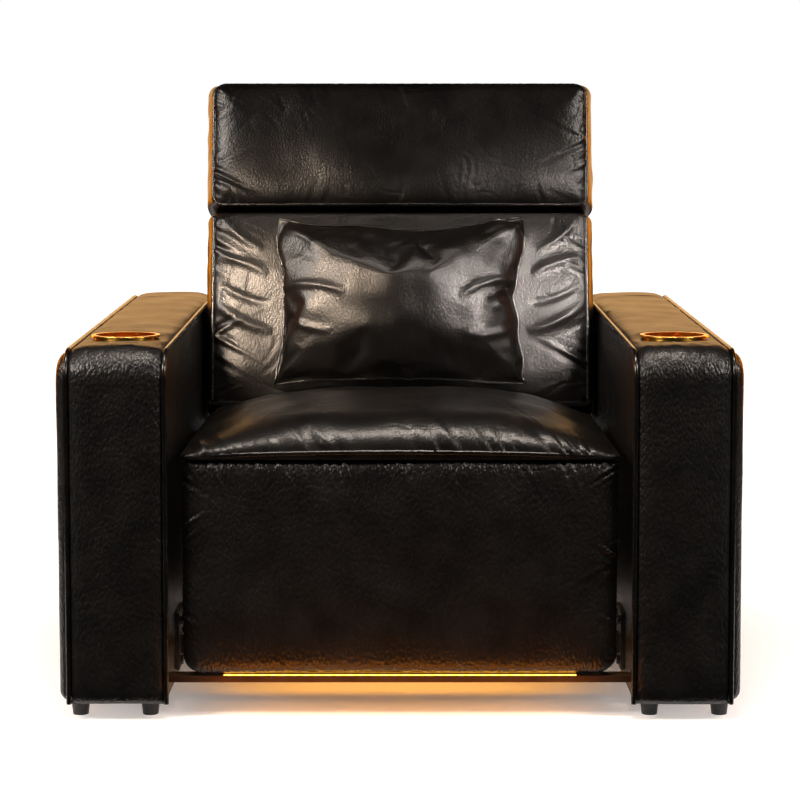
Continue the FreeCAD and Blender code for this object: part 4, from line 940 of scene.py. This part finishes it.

# %% [markdown]
# ## Studio
#
# The seat stands on a plain pale floor. A lamp on each side gives the broad soft highlights, one over the seat's front
# edge lights its roll, and two narrow ones light the back and the pillow. Amber lamps behind draw the warm edges, and
# two under the footrest add to the light strip's glow. The background is white by colour: the world and the floor
# answer camera, glossy and transmission rays with white, but the floor's white is dimmed near the seat, a painted
# shadow. The panels further down stand in front of it in reflections.

# %% Floor and background
def seen_directly(tree):
    """1 for rays from the camera, from glossy surfaces and through glass, and 0 for the light on other things."""
    rays = add(tree, "ShaderNodeLightPath")
    seen = add(tree, "ShaderNodeMath", {"operation": "MAXIMUM"}, i0=rays.outputs["Is Camera Ray"],
               i1=rays.outputs["Is Glossy Ray"])
    return add(tree, "ShaderNodeMath", {"operation": "MAXIMUM"}, i0=seen.outputs[0],
               i1=rays.outputs["Is Transmission Ray"])


floor_bm = bmesh.new()
bmesh.ops.create_grid(floor_bm, x_segments=2, y_segments=2, size=30.0)
floor = to_object(floor_bm, "floor")
pale_floor = bpy.data.materials.new("matt_white_paper")
pale_floor.use_nodes = True
tree = pale_floor.node_tree
tree.nodes.clear()
# Seamless studio paper, a matt sheet. Its own white is graded by distance from the seat's middle: plain white far away,
# and dimmed near the seat, a painted shadow, in which the real shadow also shows
paper = add(tree, "ShaderNodeBsdfDiffuse", None, Color=(0.82, 0.82, 0.82, 1.0))
place = add(tree, "ShaderNodeTexCoord")
away = add(tree, "ShaderNodeVectorMath", {"operation": "LENGTH"}, i0=place.outputs["Object"])
# Painted shadow: the floor's own white is dimmed towards the seat's middle
near_seat_painted_shadow = ranged(tree, away.outputs["Value"], 0.35, 0.85, 0.1, 0.7)
far_white = ranged(tree, away.outputs["Value"], 0.85, 3.0, 0.0, 0.35)
white_sum = add(tree, "ShaderNodeMath", {"operation": "ADD"}, i0=near_seat_painted_shadow, i1=far_white)
own_white = add(tree, "ShaderNodeEmission", None, Color=(1.0, 1.0, 1.0, 1.0), Strength=white_sum.outputs["Value"])
sum_shader = add(tree, "ShaderNodeAddShader")
seen = seen_directly(tree)
choose = add(tree, "ShaderNodeMixShader", None, Fac=seen.outputs[0])
output = add(tree, "ShaderNodeOutputMaterial")
tree.links.new(paper.outputs[0], sum_shader.inputs[0])
tree.links.new(own_white.outputs[0], sum_shader.inputs[1])
tree.links.new(paper.outputs[0], choose.inputs[1])
tree.links.new(sum_shader.outputs[0], choose.inputs[2])
tree.links.new(choose.outputs[0], output.inputs["Surface"])
floor.data.materials.append(pale_floor)

world = bpy.data.worlds.new("studio")
bpy.context.scene.world = world
world.use_nodes = True
tree = world.node_tree
tree.nodes.clear()
room = add(tree, "ShaderNodeBackground", None, Color=(1.0, 0.98, 0.96, 1.0), Strength=0.25)
white = add(tree, "ShaderNodeBackground", None, Color=(1.0, 1.0, 1.0, 1.0), Strength=1.0)
seen = seen_directly(tree)
choose = add(tree, "ShaderNodeMixShader", None, Fac=seen.outputs[0])
output = add(tree, "ShaderNodeOutputWorld")
tree.links.new(room.outputs[0], choose.inputs[1])
tree.links.new(white.outputs[0], choose.inputs[2])
tree.links.new(choose.outputs[0], output.inputs["Surface"])
print("floor and world ready")

# %% Lamps
def lamp(name, place, aim, size, power, code, spread_degrees=180.0):
    """Square soft box at a place in metres, turned to a point."""
    light = bpy.data.lights.new(name, "AREA")
    light.shape = "RECTANGLE"
    light.size, light.size_y = size
    light.energy = power
    light.color = colour(code)[:3]
    light.spread = math.radians(spread_degrees)
    holder = bpy.data.objects.new(name, light)
    holder.location = place
    holder.rotation_euler = (Vector(aim) - Vector(place)).to_track_quat("-Z", "Y").to_euler()
    holder.visible_camera = False
    bpy.context.scene.collection.objects.link(holder)
    return holder


lamp("soft_box_left", (-1.9, -1.5, 2.0), (0.0, 0.0, 0.45), (0.6, 0.5), 50.0, "#fff3e8")
lamp("soft_box_right", (1.9, -1.5, 2.0), (0.0, 0.0, 0.45), (0.6, 0.5), 36.0, "#fff5ec")
lamp("top_box", (0.0, -0.8, 2.7), (0.0, -0.46, 0.45), (1.1, 0.3), 3.2, "#fff1e4", 40.0)
# Two small lamps over the arms for the highlights on the back's and the pillow's sides
lamp("kicker_left", (-0.66, -1.24, 1.22), (-0.25, 0.05, 0.66), (0.2, 0.2), 0.62, "#ffe4c8", 17.0)
lamp("kicker_right", (0.66, -1.24, 1.22), (0.25, 0.05, 0.66), (0.2, 0.2), 0.52, "#fff2ea", 17.0)
lamp("amber_left", (-1.5, 1.0, 0.75), (-0.35, 0.1, 0.6), (0.5, 0.9), 5.0, "#ff9410", 110.0)
lamp("amber_right", (1.5, 1.0, 0.75), (0.35, 0.1, 0.6), (0.5, 0.9), 5.0, "#ff9410", 110.0)
# These two stand in for most of the light strip's glow on the floor and on the hem of the footrest above it
lamp("strip_down", (0.0, -0.29, 0.12), (0.0, -0.30, 0.0), (0.56, 0.06), 0.9, "#ffa81c")
lamp("strip_up", (0.0, -0.50, 0.03), (0.0, -0.452, 0.10), (0.60, 0.02), 0.3, "#ff8c10")
print("lamps", len(bpy.data.lights))

# %% [markdown]
# Black hide shows mostly what it mirrors. As in a photographer's studio, a gold reflector stands behind the seat,
# black cloths surround it, and amber panels stand at its sides. The camera doesn't see them, and they throw no shadow
# and no light on matt things. Reflections see them in place of the white background.

# %% Reflectors
def reflector(name, corners, code, strength):
    """Flat panel between corners in metres, seen only in the hide's reflections."""
    bm = bmesh.new()
    bm.faces.new([bm.verts.new(corner) for corner in corners])
    panel = to_object(bm, name)
    cloth = bpy.data.materials.new(name + "_cloth")
    cloth.use_nodes = True
    tree = cloth.node_tree
    tree.nodes.clear()
    shine = add(tree, "ShaderNodeEmission", None, Color=colour(code), Strength=strength)
    output = add(tree, "ShaderNodeOutputMaterial")
    tree.links.new(shine.outputs[0], output.inputs["Surface"])
    panel.data.materials.append(cloth)
    panel.visible_camera = False
    panel.visible_diffuse = False
    panel.visible_shadow = False
    return panel


def upright(name, x0, y0, x1, y1, low, high, code, strength=1.0):
    """Standing reflector between two points of the floor plan."""
    return reflector(name, [(x0, y0, low), (x1, y1, low), (x1, y1, high), (x0, y0, high)], code, strength)


def level(name, half_x, front, rear, height, code):
    """Lying reflector at one height."""
    return reflector(name, [(-half_x, front, height), (half_x, front, height), (half_x, rear, height),
                            (-half_x, rear, height)], code, 1.0)


VELVET = "#0c0b0a"
ROOM_X, ROOM_FRONT, ROOM_REAR, ROOM_HEIGHT = 2.6, -4.4, 1.9, 3.2
upright("gold_reflector", -1.5, 1.7, 1.5, 1.7, 0.7, 1.45, "#ffc480", 2.4)
for side, word in ((-1, "left"), (1, "right")):
    upright("amber_edge_" + word, side * 1.6, -0.2, side * 1.6, 1.7, 0.56, 1.2, "#f08208", 0.6)
    upright("low_cloth_" + word, side * 1.62, -1.4, side * 1.62, 1.72, 0.0, 0.56, "#2a1f14", 0.5)
    upright("side_cloth_" + word, side * ROOM_X, ROOM_FRONT, side * ROOM_X, ROOM_REAR, 0.0, ROOM_HEIGHT, VELVET)
level("floor_cloth", 1.3, -1.0, -0.48, 0.003, VELVET)
upright("near_cloth", -1.3, -1.0, 1.3, -1.0, 0.0, 0.95, VELVET)
upright("front_cloth", -ROOM_X, ROOM_FRONT, ROOM_X, ROOM_FRONT, 0.0, ROOM_HEIGHT, VELVET)
upright("rear_cloth", -ROOM_X, ROOM_REAR, ROOM_X, ROOM_REAR, 0.0, ROOM_HEIGHT, VELVET)
level("ceiling_cloth", ROOM_X, ROOM_FRONT, ROOM_REAR, ROOM_HEIGHT, VELVET)
print("reflectors ready")

# %% Camera
# The photograph's angle: a long lens 3.3 m in front of the arms, a little above the seat and tipped down
camera_data = bpy.data.cameras.new("camera")
camera_data.sensor_width = 36.0
camera_data.lens = 99.1
camera_data.shift_y = -0.08
camera = bpy.data.objects.new("camera", camera_data)
camera.location = (0.0, -3.778, 0.867)
camera.rotation_euler = (math.radians(90.0 - 4.79), 0.0, 0.0)
bpy.context.scene.collection.objects.link(camera)
bpy.context.scene.camera = camera
bpy.context.scene.view_settings.view_transform = "Standard"
